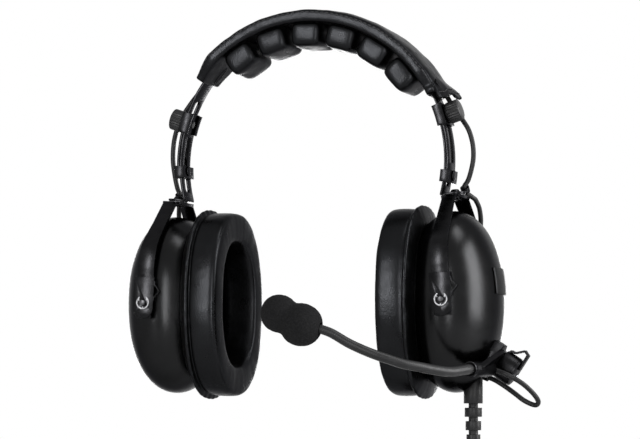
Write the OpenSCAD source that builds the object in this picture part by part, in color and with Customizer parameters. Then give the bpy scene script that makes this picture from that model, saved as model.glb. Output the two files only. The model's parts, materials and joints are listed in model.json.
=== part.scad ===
// Aviation headset: a sprung headband with a padded cover, two slide arms, two bent strip stirrups
// that carry tilting ear cups, a gooseneck boom microphone and a coiled lead.
// Millimetres, +Z up. The wearer faces -Y and the boom is on the +X cup. The origin lies midway
// between the ears, on the line through the tilt pins.

/* [Headband] */
// Height of the headband arc's centre above the ear axis
band_z = 82; // [80:0.5:86]
// Radius of the middle of the spring band
band_r = 82.7; // [82:0.1:85]
// Thickness of the spring band
band_t = 1.2; // [0.8:0.1:1.6]
// Width of the spring band
band_w = 15; // [13:0.5:17]
// Angle that the spring band spans about the arc's centre
band_span = 194.5; // [192:0.5:197]
// Roll of the spring band towards the boom side, which unequal slides take up
band_roll = 2.25; // [1:0.25:3]
// Width of the adjustment slots in the band and the slides
slot_w = 5; // [4.8:0.1:6]
// Angle from an end of the band to the near end of its slot
band_slot_near = 8; // [7:0.5:9]
// Angle from an end of the band to the far end of its slot
band_slot_far = 33; // [32:0.5:34]

/* [Cover and pads] */
// Width of the headband cover
cover_w = 36; // [34:0.5:42]
// Padding over the spring band
cover_over = 5.7; // [5.2:0.1:8]
// Lining under the spring band
cover_under = 1.2; // [1:0.1:2]
// Angle that the cover spans
cover_span = 118.5; // [114:0.5:119]
// Roll of the cover towards the boom side
cover_roll = 5.25; // [4:0.25:5.5]
// Number of head pads
pad_count = 6; // [4:1:7]
// Angle between neighbouring head pads
pad_pitch = 16.15; // [15.5:0.05:16.5]
// Roll of the row of pads towards the boom side
pad_roll = 7.2; // [5:0.1:8]
// Length of a pad along the band
pad_len = 18.5; // [16:0.1:19.5]
// Width of a pad across the band
pad_w = 34; // [28:0.5:36]
// Depth of a pad from the cover to its crown
pad_depth = 13.5; // [10:0.1:16]

/* [Slides] */
// Thickness of a slide arm
slide_t = 1.2; // [0.8:0.1:1.6]
// Gap between the spring band and a slide arm
slide_gap = 0.3; // [0.2:0.05:0.5]
// Angle of a slide's bend below the arc's centre
slide_bend = 14; // [13.5:0.1:14.5]
// Angle from the bend to a slide's top end
slide_rise = 36.5; // [36:0.1:37]
// Angle from the bend to the near end of the slide's slot
slide_slot_near = 3; // [2.8:0.1:3.5]
// Angle from the bend to the far end of the slide's slot
slide_slot_far = 26.5; // [26:0.1:27.5]
// Angle from the bend to the thumbscrew
knob_rise = 32; // [31.5:0.1:32.5]
// Diameter of a thumbscrew's knob
knob_d = 12.7; // [10:0.1:13]
// Height of a thumbscrew's knob
knob_h = 8.5; // [6:0.1:12]
// Ribs round a thumbscrew's knob
knob_ribs = 26; // [16:1:36]
// Depth of the ribs
knob_rib_depth = 0.5; // [0.2:0.05:0.8]
// Diameter of a thumbscrew's shank
shank_d = 4; // [3:0.1:4.4]
// Angle along the band that a slide's keeper covers
slide_keeper_angle = 8.6; // [7:0.1:9]
// Wall of the sheet metal keepers
keeper_t = 1.2; // [0.8:0.1:1.4]
// Angle along the band that the keeper at the band's end covers
band_keeper_angle = 5; // [4.5:0.1:5.5]
// Angle from an end of the band to its guide rivet
guide_in = 3; // [2.8:0.1:3.2]
// Diameter of the guide rivets
guide_d = 4.4; // [3.6:0.1:4.5]

/* [Swivel and stirrup] */
// Distance of the swivel rivet from the headband arc's centre
swivel_r = 87.1; // [86.5:0.1:88]
// Angle of the swivel rivet below the arc's centre
swivel_drop = 12.5; // [12.3:0.1:12.7]
// Diameter of the swivel rivet's shank
swivel_d = 4; // [3:0.1:4.5]
// Diameter of the swivel rivet's heads
swivel_head_d = 6.4; // [5.5:0.1:7]
// Thickness of the swivel rivet's heads
swivel_head_t = 1.8; // [1.2:0.1:2]
// Thickness of a slide's tab
tab_t = 1.2; // [1:0.1:1.5]
// Width of a slide's tab
tab_w = 12; // [10:0.5:14]
// Thickness of the swivel washer
washer_t = 0.8; // [0.5:0.1:1.2]
// Diameter of the swivel washer
washer_d = 11; // [9:0.5:12]
// Thickness of the stirrup's strip
strip_t = 1.8; // [1.4:0.1:2]
// Width of the stirrup's arms
strip_w = 10; // [8:0.5:11]
// Half length of the stirrup's flat top
strip_top = 12; // [11:0.5:14]
// Distance from the middle of the cup to the middle of a stirrup arm
arm_y = 43.6; // [43.5:0.1:45]
// Width of a hanger
hanger_w = 12.3; // [11.8:0.1:13]
// Thickness of a hanger's sheet
hanger_t = 1.1; // [0.8:0.1:1.3]
// Reach of a hanger above the tilt pin
hanger_up = 15; // [14:0.5:16]
// Height of a hanger's clip band
clip_band_h = 5; // [4:0.5:6]

/* [Ear cups] */
// Distance of the tilt pins from the middle of the headset
pin_x = 89.25; // [89:0.05:89.5]
// Diameter of the tilt pins
pin_d = 3; // [2.4:0.1:3.4]
// Diameter of the E-clips
clip_d = 8; // [6.5:0.1:9]
// Thickness of the E-clips
clip_t = 0.7; // [0.5:0.05:0.8]
// Distance of the widest part of a dome from the middle
dome_x = 85.3; // [84.5:0.1:86]
// Bulge of a dome beyond its widest part
dome_a = 27; // [25:0.1:30]
// Half width of a dome, along Y
dome_hy = 40.3; // [39.5:0.1:40.8]
// Half height of a dome, along Z
dome_hz = 52; // [50:0.1:53]
// Wall of a dome
dome_wall = 2.2; // [1.8:0.1:3]
// Distance of the seam between dome and seal from the middle
seam_x = 71; // [70.5:0.1:71.5]
// Half width of a dome at the seam
neck_hy = 34; // [33:0.1:35]
// Half height of a dome at the seam
neck_hz = 45; // [44:0.1:46]
// Distance of a seal's face from the middle
seal_face_x = 47.7; // [45:0.1:50]
// Half width of a seal
seal_hy = 41.4; // [40:0.1:42]
// Half height of a seal
seal_hz = 53.3; // [52:0.1:54]
// Half width of a seal's opening
ear_hy = 21.5; // [18:0.1:24]
// Half height of a seal's opening
ear_hz = 36.5; // [32:0.1:39]
// Distance of the flange round a seal's back from the middle
rim_x = 65; // [64:0.1:66]
// Half width of the flange
rim_hy = 42.5; // [42.2:0.1:43.5]
// Half height of the flange
rim_hz = 55; // [54.2:0.1:56]
// Thickness of the plate behind a seal
plate_t = 4.7; // [3:0.1:5]
// Thickness of the foam liner
liner_t = 6; // [3:0.1:8]
// Diameter of a receiver
receiver_d = 40; // [30:0.5:44]
// Depth of a receiver
receiver_t = 8; // [5:0.1:10]
// Power of the superellipse that the cups follow
cup_power = 2.35; // [2.1:0.05:2.6]

/* [Boom hub] */
// Tilt of the hub's axis from straight up
hub_tilt = 123.5; // [120:0.5:127]
// Distance across the corners of the hub's octagonal base
hub_base_d = 21; // [18:0.5:23]
// Reach of the base along the hub's axis
hub_base_h = 6.3; // [6:0.1:7]
// Diameter of the hub's spindle
spindle_d = 8; // [6:0.1:10]
// Thickness of the boom bracket's plate
bracket_t = 3; // [2:0.1:4]
// Diameter of the hub's drum
drum_d = 17; // [14:0.1:19]
// Length of the hub's drum
drum_h = 10.2; // [8:0.1:12]
// Thickness of the strap over the drum
strap_t = 1.1; // [0.8:0.1:1.4]
// Width of the strap over the drum
strap_w = 6; // [4:0.1:6.5]

/* [Boom and microphone] */
// Diameter of the boom tube at the clamp
boom_d = 6; // [5:0.1:7]
// Diameter of the boom tube at the microphone
boom_tip_d = 5.1; // [4:0.1:6]
// Wall of the clamp tube
clamp_wall = 1.25; // [1:0.05:1.6]
// Diameter of the microphone capsule
capsule_d = 9.6; // [8:0.1:10.5]
// Length of the microphone capsule
capsule_len = 15; // [12:0.1:18]
// Diameter of the windscreen's rear lobe
screen_rear_d = 23.6; // [20:0.1:26]
// Diameter of the windscreen's front lobe
screen_front_d = 21; // [18:0.1:24]
// Distance between the lobes' middles
screen_gap = 13.6; // [11:0.1:16]

/* [Badge plate] */
// Width of the bare badge plate
badge_w = 32; // [26:0.5:34]
// Height of the bare badge plate
badge_h = 15; // [12:0.5:17]
// Thickness of the badge plate
badge_t = 0.8; // [0.5:0.1:1.2]

/* [Leads and cord] */
// Diameter of the crossover cable and the microphone lead
lead_d = 2.9; // [2:0.1:3]
// Distance of the crossover cable behind the middle of the band
lead_y = 10.4; // [10:0.1:11]
// Distance of the strain relief from the middle
relief_x = 95.4; // [94:0.1:97]
// Diameter of the strain relief's collar
relief_d = 10.9; // [9:0.1:12]
// Diameter of the strain relief's last rib
relief_tip_d = 7; // [6:0.1:8]
// Number of ribs on the strain relief
relief_ribs = 5; // [3:1:6]
// Distance from one rib to the next
relief_pitch = 7.6; // [6:0.1:8]
// Length of a rib
relief_rib = 5.2; // [3:0.1:5.5]
// Diameter of the cord
cord_d = 5; // [4.5:0.1:5.1]
// Turns in the cord's coil
coil_turns = 8; // [3:1:10]
// Radius of the coil's middle line
coil_r = 27.5; // [24:0.5:32]
// Distance from one turn of the coil to the next
coil_pitch = 5.6; // [5.6:0.1:7]
// Diameter of the plug's body
plug_d = 14; // [12:0.5:18]
// Length of the plug's body
plug_h = 38; // [30:1:46]
// Diameter of the plug's pin
plug_pin_d = 7.1; // [5:0.05:7.2]
// Length of the plug's pin
plug_pin_h = 30; // [22:0.5:36]

/* [Hidden] */
$fn = 64;
// Clearances: a soft part from its neighbour, a sliding part, and a running shaft's radius
soft_gap = 0.3;
slip_gap = 0.2;
run_gap = 0.05;
slot_relief = 0.2;

// Radii of the spring band, the slides and the cover about the arc's centre
band_in = band_r - band_t / 2;
band_out = band_r + band_t / 2;
slide_out = band_in - slide_gap;
slide_in = slide_out - slide_t;
slide_mid = (slide_in + slide_out) / 2;
cover_out = band_out + cover_over;
cover_in = band_in - cover_under;
lead_r = band_out + cover_over / 2;

// Angles above the arc's centre, seen on the boom side and, mirrored, on the other side
left_end = 90 - band_span / 2 - band_roll;
right_end = 90 - band_span / 2 + band_roll;
left_cover_end = 90 - cover_span / 2 - cover_roll;
right_cover_end = 90 - cover_span / 2 + cover_roll;
knob_angle = knob_rise - slide_bend;

// The swivel axis runs from the line of the tilt pins up through the swivel rivet
rivet_x = swivel_r * cos(swivel_drop);
rivet_z = band_z - swivel_r * sin(swivel_drop);
lean = atan2(pin_x - rivet_x, rivet_z);
bend_x = slide_mid * cos(slide_bend) - pin_x;
bend_z = band_z - slide_mid * sin(slide_bend);
tab_top = bend_z * cos(lean) - bend_x * sin(lean);
tab_in = bend_x * cos(lean) + bend_z * sin(lean) - slide_t;
tab_low = tab_top - tab_t;
strip_high = tab_low - washer_t;
strip_low = strip_high - strip_t;

// The middle line of a stirrup's arm, as distance from the cup's middle and height over the pins
plate_half = strip_top - 1;
strip_mid = strip_high - strip_t / 2;
arm_line = [
    [strip_top, strip_mid], [strip_top + 3, strip_mid - 1.5], [28, 46], [38.5, 36], [arm_y - 1.8, 30.5],
    [arm_y, 22], [arm_y, 17], [arm_y, 4], [arm_y, -9]
];

// Stations across the tilt pins
arm_in = arm_y - strip_t / 2;
arm_out = arm_y + strip_t / 2;
hanger_out = arm_out + hanger_t;
boss_out = arm_in - soft_gap;
boss_in = dome_hy - 2 * dome_wall;
boss_d = pin_d + 4;
clip_in = hanger_out + run_gap;
pin_out = clip_in + clip_t + 0.7;

// Shell of a dome
cup_sides = 36;
cap_steps = 7;
neck_steps = 3;
inner_a = dome_a - dome_wall;
inner_hy = dome_hy - dome_wall;
inner_hz = dome_hz - dome_wall;
neck_wall = 1.5 * dome_wall;
plate_front = seam_x - plate_t;
plate_hy = neck_hy - 1.6;
plate_hz = neck_hz - 1.6;
liner_x = seam_x + soft_gap;
receiver_x = liner_x + liner_t + soft_gap;

// Boom hub: distances along its axis from a point just under the dome's skin
hub_pos = [104, 0, -30];
bracket_s = hub_base_h + slip_gap;
drum_s = bracket_s + bracket_t + slip_gap;
drum_end = drum_s + drum_h;
clamp_rear = [108.8, -13, -38.5];
clamp_front = [103.8, -35, -39];
clamp_d = boom_d + 2 * clamp_wall;
// The bracket's outline about the hub's axis
bracket_outline = [[-7, 3], [-7, -8], [-1, -23], [3, -31], [9, -31], [10, -13], [7, 5], [0, 8]];
// The strap's middle line, as distance along the hub's axis and height over it
strap_lift = drum_d / 2 + strap_t / 2 + run_gap;
strap_end = drum_end + strap_t / 2 + run_gap;
strap_line = [
    [drum_s + 1, strap_lift], [drum_s + 4, strap_lift + 0.4], [drum_s + 8, strap_lift + 4.4],
    [strap_end, strap_lift + 3.2], [strap_end, 2.5]
];

// The boom's route from the clamp to the microphone
boom_route = [
    [107.5, -18.7, -38.6], [104.9, -30, -38.9], [103.8, -35, -39], [102.6, -40, -39.2], [99.5, -46.5, -40],
    [96, -53, -40.5], [90, -63, -39.5], [84, -71, -38], [77.5, -78, -36.5], [70.5, -83.5, -34],
    [61.5, -89, -30.5], [51, -93, -25.5], [41, -96, -19.5], [32.5, -97.5, -16.7]
];
boom_end = boom_route[len(boom_route) - 1];
screen_pos = [24.9, -98, -15.1];
screen_dir = [-0.89, -0.07, 0.45];

// The microphone lead's route from the boom's rear end into the dome
mic_lead_route = [
    [108.8, -13, -38.5], [109.8, -11.5, -38.7], [113.5, -11, -40], [119.7, -10.8, -42.6], [126.5, -7, -47.2],
    [131.5, -2, -53], [133, 2, -57.2], [130.5, 4, -59], [124, 5.5, -56.5], [117.5, 7, -52],
    [111.5, 8, -48], [106, 8.8, -44.8], [102.5, 9, -43.4]
];
mic_lead_end = [98.5, 9, -41.8];

// The crossover cable's routes, on the boom side and, mirrored, on the other side
left_upper_route = [
    [81.5, lead_y, 112.8], [86.5, lead_y, 106], [90.5, lead_y, 99.5], [92.8, lead_y, 91.5],
    [93.2, lead_y, 83.7], [92, lead_y, 76.8], [90, lead_y, 70.5]
];
right_upper_route = [
    [76.5, lead_y, 126.5], [83.5, lead_y, 118], [88.5, lead_y, 110], [91.5, lead_y, 101.5],
    [92.7, lead_y, 93.5], [92.7, lead_y, 85.5], [91.5, lead_y, 77.3], [90, lead_y, 70.5]
];
// Below the clip, about the swivel's frame: outwards, backwards and up from the pins
clip_hold = [3.3, lead_y, tab_top + 2.2];
clip_dir = [0, 0.6, -0.8];
lower_route = [
    [4.4, 14.8, 62.1], [6.7, 18.8, 59.6], [7.8, 22, 55], [7.8, 24, 49], [7.2, 25.1, 45], [7, 25.2, 42.5]
];
lower_end = [6.9, 25.2, 37.5];

// The cord's lie, from the strain relief down to the plug
relief_top = -44;
relief_rib_top = -52.9;
relief_end = relief_rib_top - relief_ribs * relief_pitch - 5;
coil_pos = [relief_x - coil_r, 0, -133];
coil_step = 24;
coil_last = [relief_x, coil_turns * coil_pitch, coil_pos[2]];
drop_route = [
    [relief_x, 0, relief_end], [relief_x, 0, -108], [relief_x, 0, -120], coil_pos + [coil_r, 0, cord_d]
];
tail_route = [
    coil_last - [0, 0, cord_d], coil_last - [0, 0, 18], coil_last - [0, 0, 30], coil_last - [0, 0, 42]
];
plug_top = tail_route[3];

// ---- Colours ----
black_metal = "#27272a";
black_plastic = "#1f2022";
black_vinyl = "#232326";
black_rubber = "#1a1a1b";
bright_steel = "#b8bbc0";
dark_foam = "#2c2c2f";

// ---- Points and surfaces worked out by formula ----
function unit(v) = v / norm(v);
function middle(points) = [for (k = [0:2]) mean([for (p = points) p[k]])];
function mean(values) = sum(values) / len(values);
function sum(values, i = 0) = i == len(values) ? 0 : values[i] + sum(values, i + 1);
function rounded(value, power) = sign(value) * pow(abs(value), 2 / power);

// A smooth curve through the points, with this many steps between neighbours
function curve(p, steps) = [
    for (i = [0:len(p) - 2], k = [0:steps - 1])
        let (t = k / steps, a = p[max(i - 1, 0)], b = p[i], c = p[i + 1], d = p[min(i + 2, len(p) - 1)])
        b + ((c - a) * t + (2 * a - 5 * b + 4 * c - d) * t * t + (3 * b - a - 3 * c + d) * t * t * t) / 2,
    p[len(p) - 1]
];

// One oval of a cup, seen along X
function cup_oval(x, hy, hz, sides = cup_sides) = [
    for (j = [0:sides - 1])
        let (a = 360 * j / sides)
        [x, hy * rounded(cos(a), cup_power), hz * rounded(sin(a), cup_power)]
];

// The dome's outside at a height and a place along Y
function dome_face(y, z) =
    let (s = pow(pow(abs(y) / dome_hy, cup_power) + pow(abs(z) / dome_hz, cup_power), 1 / cup_power))
    dome_x + dome_a * sqrt(max(0, 1 - s * s));

// The rings of a tube swept along a path; ref is a direction that the path never takes
function tube_rings(path, d0, d1, sides, ref) = [
    for (i = [0:len(path) - 1])
        let (
            last = len(path) - 1,
            t = unit(path[min(i + 1, last)] - path[max(i - 1, 0)]),
            u = unit(cross(ref, t)),
            v = cross(t, u),
            r = (d0 + (d1 - d0) * i / last) / 2
        )
        [for (j = [0:sides - 1]) path[i] + r * (cos(360 * j / sides) * u + sin(360 * j / sides) * v)]
];

function flat_list(rings) = [for (ring = rings) each ring];
function wall_faces(n, m, closed) = [
    for (i = [0:n - (closed ? 1 : 2)], j = [0:m - 1])
        let (a = i * m, b = ((i + 1) % n) * m, k = (j + 1) % m)
        each [[a + j, b + k, a + k], [a + j, b + j, b + k]]
];

// A solid through a stack of rings, closed by a fan at each end
module ring_solid(rings) {
    n = len(rings);
    m = len(rings[0]);
    ends = [middle(rings[0]), middle(rings[n - 1])];
    low = [for (j = [0:m - 1]) [n * m, j, (j + 1) % m]];
    high = [for (j = [0:m - 1]) [n * m + 1, (n - 1) * m + (j + 1) % m, (n - 1) * m + j]];
    polyhedron(concat(flat_list(rings), ends), concat(wall_faces(n, m, false), low, high));
}

// A solid through a closed circle of rings
module ring_loop(rings) {
    polyhedron(flat_list(rings), wall_faces(len(rings), len(rings[0]), true));
}

module tube(path, d0, d1, sides, ref) {
    ring_solid(tube_rings(path, d0, d1, sides, ref));
}

// ---- Placing ----
// Round the headband arc: an angle above the boom side's horizontal, and local Z pointing outwards
module at_band(angle) {
    translate([0, 0, band_z]) rotate([0, -angle, 0]) rotate([0, 90, 0]) children();
}

// The swivel's frame: origin between the tilt pins, local Z up the swivel axis
module in_swivel() {
    translate([pin_x, 0, 0]) rotate([0, -lean, 0]) children();
}

module on_hub() {
    translate(hub_pos) rotate([0, hub_tilt, 0]) children();
}

// Local Z along a direction
module along(start, dir) {
    translate(start) rotate([0, acos(unit(dir)[2]), atan2(dir[1], dir[0])]) children();
}

module across_x() {
    rotate([90, 0, 90]) children();
}

module other_side() {
    mirror([1, 0, 0]) children();
}

module front_and_back() {
    children();
    mirror([0, 1, 0]) children();
}

// A curved strip about the arc's centre, between two radii and two angles
module ring_arc(r0, r1, w, a0, a1) {
    translate([0, 0, band_z]) rotate([90, 0, 0]) rotate([0, 0, a0])
        rotate_extrude(angle = a1 - a0, $fn = 180)
            translate([r0, -w / 2]) square([r1 - r0, w]);
}

// A slot through such a strip, with ends drilled a little wider
module arc_slot(r0, r1, w, a0, a1) {
    inset = w / 2 / r0 * 180 / PI;
    ring_arc(r0, r1, w, a0 + inset, a1 - inset);
    for (a = [a0 + inset, a1 - inset])
        at_band(a) translate([0, 0, r0 - 1]) cylinder(h = r1 - r0 + 2, d = w + slot_relief);
}

module radial_hole(angle, d) {
    at_band(angle) translate([0, 0, slide_in - 5]) cylinder(h = cover_out - slide_in + 5, d = d);
}

// ---- Headband ----
module headband_spring() {
    color(black_metal) difference() {
        ring_arc(band_in, band_out, band_w, left_end, 180 - right_end);
        arc_slot(band_in - 1, band_out + 1, slot_w, left_end + band_slot_near, left_end + band_slot_far);
        other_side() arc_slot(band_in - 1, band_out + 1, slot_w, right_end + band_slot_near,
            right_end + band_slot_far);
        radial_hole(left_end + guide_in, guide_d);
        other_side() radial_hole(right_end + guide_in, guide_d);
    }
}

module cover_profile() {
    h = cover_w / 2;
    polygon([
        [cover_in, -h + 1.6], [cover_in + 1.6, -h], [cover_out - 3.9, -h + 0.2], [cover_out - 1.9, -h + 2.6],
        [cover_out - 0.7, -h + 7.5], [cover_out, -h + 14], [cover_out, h - 14], [cover_out - 0.7, h - 7.5],
        [cover_out - 1.9, h - 2.6], [cover_out - 3.9, h - 0.2], [cover_in + 1.6, h], [cover_in, h - 1.6]
    ]);
}

module headband_cover() {
    color(black_vinyl) translate([0, 0, band_z]) rotate([90, 0, 0]) rotate([0, 0, left_cover_end])
        rotate_extrude(angle = cover_span, $fn = 180) difference() {
            cover_profile();
            translate([band_in - slip_gap, -band_w / 2 - soft_gap])
                square([band_t + 2 * slip_gap, band_w + 2 * soft_gap]);
            translate([lead_r, -lead_y]) circle(d = lead_d + 2 * slip_gap, $fn = 32);
        }
}

// A pad's outline at each depth, as shares of its half length and half width
pad_steps = [
    [0, 0.9, 0.95], [0.16, 0.99, 1], [0.45, 1, 1], [0.7, 0.95, 0.97], [0.88, 0.8, 0.88], [0.98, 0.5, 0.62]
];
module head_pad() {
    ring_solid([
        for (s = pad_steps)
            [for (j = [0:19])
                let (a = -360 * j / 20)
                [s[1] * pad_len / 2 * rounded(cos(a), 4), s[2] * pad_w / 2 * rounded(sin(a), 4),
                    cover_in - soft_gap - s[0] * pad_depth]]
    ]);
}

module headband_pads() {
    color(black_vinyl) for (k = [0:pad_count - 1])
        at_band(90 - pad_roll + (k - (pad_count - 1) / 2) * pad_pitch) head_pad();
}

// The keeper at one end of the band: a flat loop round the band and the slide
module band_keeper(end) {
    low = slide_in - slide_gap - keeper_t;
    w = band_w + 2 * soft_gap;
    difference() {
        ring_arc(low, band_out + keeper_t, w + 2 * keeper_t, end, end + band_keeper_angle);
        ring_arc(low + keeper_t, band_out, w, end - 1, end + band_keeper_angle + 1);
        radial_hole(end + guide_in, guide_d);
    }
}

module guide_rivet(end) {
    low = slide_in - slide_gap - keeper_t;
    high = band_out + keeper_t;
    at_band(end + guide_in) {
        translate([0, 0, low]) cylinder(h = high - low, d = guide_d);
        translate([0, 0, low - 0.8]) cylinder(h = 0.8, d = guide_d + 1.6);
        translate([0, 0, high]) cylinder(h = 0.8, d = guide_d + 2);
    }
}

module band_keepers() {
    color(black_metal) {
        band_keeper(left_end);
        other_side() band_keeper(right_end);
    }
}

module guide_rivets() {
    color(black_metal) {
        guide_rivet(left_end);
        other_side() guide_rivet(right_end);
    }
}

module crossover_cable_top() {
    color(black_rubber) translate([0, 0, band_z]) rotate([90, 0, 0]) rotate([0, 0, left_cover_end])
        rotate_extrude(angle = cover_span, $fn = 180)
            translate([lead_r, -lead_y]) circle(d = lead_d, $fn = 32);
}

// ---- Slides ----
module slide_arm() {
    color(black_metal) difference() {
        union() {
            ring_arc(slide_in, slide_out, band_w, -slide_bend - 0.5, slide_rise - slide_bend);
            in_swivel() translate([0, 0, tab_low]) {
                cylinder(h = tab_t, d = tab_w);
                translate([tab_in, -tab_w / 2, 0]) cube([-tab_in, tab_w, tab_t]);
            }
        }
        arc_slot(slide_in - 1, slide_out + 1, slot_w, slide_slot_near - slide_bend,
            slide_slot_far - slide_bend);
        radial_hole(knob_angle, shank_d + 2 * run_gap);
        in_swivel() translate([0, 0, tab_low - 1]) cylinder(h = tab_t + 2, d = swivel_d);
    }
}

// The channel that holds a slide against the band under the thumbscrew
module slide_keeper() {
    a0 = knob_angle - slide_keeper_angle / 2;
    a1 = knob_angle + slide_keeper_angle / 2;
    plate_in = band_out + soft_gap;
    half = band_w / 2 + soft_gap;
    color(black_metal) difference() {
        ring_arc(slide_in - keeper_t, plate_in + keeper_t, 2 * (half + keeper_t), a0, a1);
        ring_arc(slide_in, plate_in, 2 * half, a0 - 1, a1 + 1);
        ring_arc(slide_in - keeper_t - 1, slide_in + 1, 2 * half - 5, a0 - 1, a1 + 1);
        radial_hole(knob_angle, shank_d + 4 * run_gap);
    }
}

module thumbscrew() {
    base = band_out + soft_gap + keeper_t + slip_gap;
    tip = slide_in - 1;
    color(black_plastic) at_band(knob_angle) {
        translate([0, 0, tip]) cylinder(h = base - tip, d = shank_d);
        translate([0, 0, base]) cylinder(h = 1, d = knob_d - 2 * knob_rib_depth);
        translate([0, 0, base + 1]) linear_extrude(height = knob_h - 1.6) polygon([
            for (k = [0:2 * knob_ribs - 1])
                let (a = 180 * k / knob_ribs, r = knob_d / 2 - (k % 2) * knob_rib_depth)
                r * [cos(a), sin(a)]
        ]);
        translate([0, 0, base + knob_h - 0.6])
            cylinder(h = 0.6, d1 = knob_d - 2 * knob_rib_depth, d2 = knob_d - 3);
    }
}

module swivel_rivet() {
    color(black_metal) in_swivel() {
        translate([0, 0, strip_low]) cylinder(h = tab_top - strip_low, d = swivel_d);
        translate([0, 0, strip_low - swivel_head_t / 2]) cylinder(h = swivel_head_t / 2, d = swivel_head_d);
        translate([0, 0, tab_top]) cylinder(h = swivel_head_t, d1 = swivel_head_d, d2 = swivel_head_d - 2.4);
    }
}

module swivel_washer() {
    color(bright_steel) in_swivel() translate([0, 0, strip_high]) difference() {
        cylinder(h = washer_t, d = washer_d);
        translate([0, 0, -1]) cylinder(h = washer_t + 2, d = swivel_d);
    }
}

// A saddle on the tab's top that holds the crossover cable
module cable_clip() {
    reach = norm([clip_hold[0], clip_hold[1]]);
    turn = atan2(clip_hold[1], clip_hold[0]);
    start = swivel_head_d / 2 + slip_gap;
    color(black_metal) in_swivel() difference() {
        union() {
            rotate([0, 0, turn]) translate([start, -2.2, tab_top]) cube([reach - start, 4.4, 0.8]);
            along(clip_hold - 1.6 * clip_dir, clip_dir) cylinder(h = 3.2, d = lead_d + 2.4, $fn = 32);
        }
        along(clip_hold - 8 * clip_dir, clip_dir) cylinder(h = 16, d = lead_d + 2 * soft_gap, $fn = 32);
    }
}

// ---- Stirrup ----
function turned(v) = [-v[1], v[0]];
function strip_side(line, offset) = [
    for (i = [0:len(line) - 1])
        let (t = unit(line[min(i + 1, len(line) - 1)] - line[max(i - 1, 0)]))
        line[i] + offset * turned(t)
];
// A strip of even thickness along a line in a plane
module strip_outline(line, t) {
    there = strip_side(line, t / 2);
    back = strip_side(line, -t / 2);
    polygon(concat(there, [for (i = [len(back) - 1:-1:0]) back[i]]));
}

module stirrup() {
    half = concat([[plate_half, strip_mid]], curve(arm_line, 3));
    whole = concat([for (i = [len(half) - 1:-1:0]) [-half[i][0], half[i][1]]], half);
    color(black_metal) in_swivel() difference() {
        union() {
            across_x() translate([0, 0, -strip_w / 2]) linear_extrude(height = strip_w)
                strip_outline(whole, strip_t);
            translate([-strip_w / 2 - 1, -plate_half, strip_low])
                cube([strip_w + 2, 2 * plate_half, strip_t]);
        }
        translate([0, 0, strip_low - 1]) cylinder(h = strip_t + 2, d = swivel_d + 2 * run_gap);
        front_and_back() pin_bore(pin_d + 2 * run_gap);
    }
}

module pin_bore(d) {
    rotate([-90, 0, 0]) cylinder(h = 2 * arm_y, d = d);
}

// A sheet hanger outside each arm's end, with a band that clips round the arm
module hanger() {
    band_in_y = arm_in - slip_gap - hanger_t;
    band_low = hanger_up - clip_band_h;
    difference() {
        union() {
            translate([-hanger_w / 2, arm_out, 3 - hanger_w / 2])
                cube([hanger_w, hanger_t, hanger_up - 3 + hanger_w / 2]);
            translate([0, arm_out, 3 - hanger_w / 2]) rotate([-90, 0, 0])
                cylinder(h = hanger_t, d = hanger_w);
            translate([-hanger_w / 2, band_in_y, band_low])
                cube([hanger_w, hanger_out - band_in_y, clip_band_h]);
        }
        translate([-strip_w / 2 - run_gap, arm_in - slip_gap, band_low - 1])
            cube([strip_w + 2 * run_gap, strip_t + slip_gap, clip_band_h + 2]);
        pin_bore(pin_d + 2 * run_gap);
    }
}

module hangers() {
    color(black_metal) in_swivel() front_and_back() hanger();
}

// A bent leaf on one edge of each hanger, on the other edge at the back than at the front
module hanger_spring() {
    edge = hanger_w / 2 + 0.3;
    line = [[edge, 12.5], [edge, 10.5], [edge + 3.2, 7], [edge, 3.5], [edge, 1.5]];
    translate([0, hanger_out, 0]) rotate([90, 0, 0]) linear_extrude(height = hanger_t + strip_t)
        strip_outline(line, 0.6);
}

module hanger_springs() {
    color(black_metal) in_swivel() for (turned = [0, 180]) rotate([0, 0, turned]) hanger_spring();
}

// ---- Ear cups ----
// Rings from the seam out to the top of a dome, for its outside or its inside
function dome_rings(a, hy, hz, start_hy, start_hz) = concat(
    [for (k = [0:neck_steps - 1])
        let (t = k / neck_steps, s = sin(90 * t))
        cup_oval(seam_x + (dome_x - seam_x) * t, start_hy + (hy - start_hy) * s,
            start_hz + (hz - start_hz) * s)],
    [for (k = [0:cap_steps])
        let (t = 82 * k / cap_steps)
        cup_oval(dome_x + a * sin(t), hy * cos(t), hz * cos(t))]
);

module dome_solid() {
    ring_solid(dome_rings(dome_a + 0.1, dome_hy + 0.1, dome_hz + 0.1, neck_hy, neck_hz));
}

module dome_wall_solid() {
    outside = dome_rings(dome_a, dome_hy, dome_hz, neck_hy, neck_hz);
    inside = dome_rings(inner_a, inner_hy, inner_hz, neck_hy - neck_wall, neck_hz - neck_wall);
    ring_solid(concat([for (k = [len(inside) - 1:-1:0]) inside[k]], outside));
}

// Where the crossover cable enters, in the headset's own frame
function from_swivel(p) = [
    pin_x + p[0] * cos(lean) - p[2] * sin(lean), p[1], p[0] * sin(lean) + p[2] * cos(lean)
];

// A round boss on a dome that a lead runs into, face to face
module lead_boss(tip, inner) {
    along(tip, inner - tip) cylinder(h = norm(inner - tip), d = lead_d + 2, $fn = 32);
}

module dome_shell() {
    lead_stop = lower_route[len(lower_route) - 1];
    lead_tip = from_swivel(lead_stop + soft_gap * unit(lower_end - lead_stop));
    difference() {
        union() {
            dome_wall_solid();
            front_and_back() translate([pin_x, boss_in, 0]) rotate([-90, 0, 0])
                cylinder(h = boss_out - boss_in, d = boss_d);
            lead_boss(lead_tip, from_swivel(lower_end));
        }
        translate([pin_x, 0, 0]) front_and_back() pin_bore(pin_d);
    }
}

module left_dome_shell() {
    color(black_plastic) union() {
        dome_shell();
        lead_boss(mic_lead_route[len(mic_lead_route) - 1], mic_lead_end);
    }
}

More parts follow.
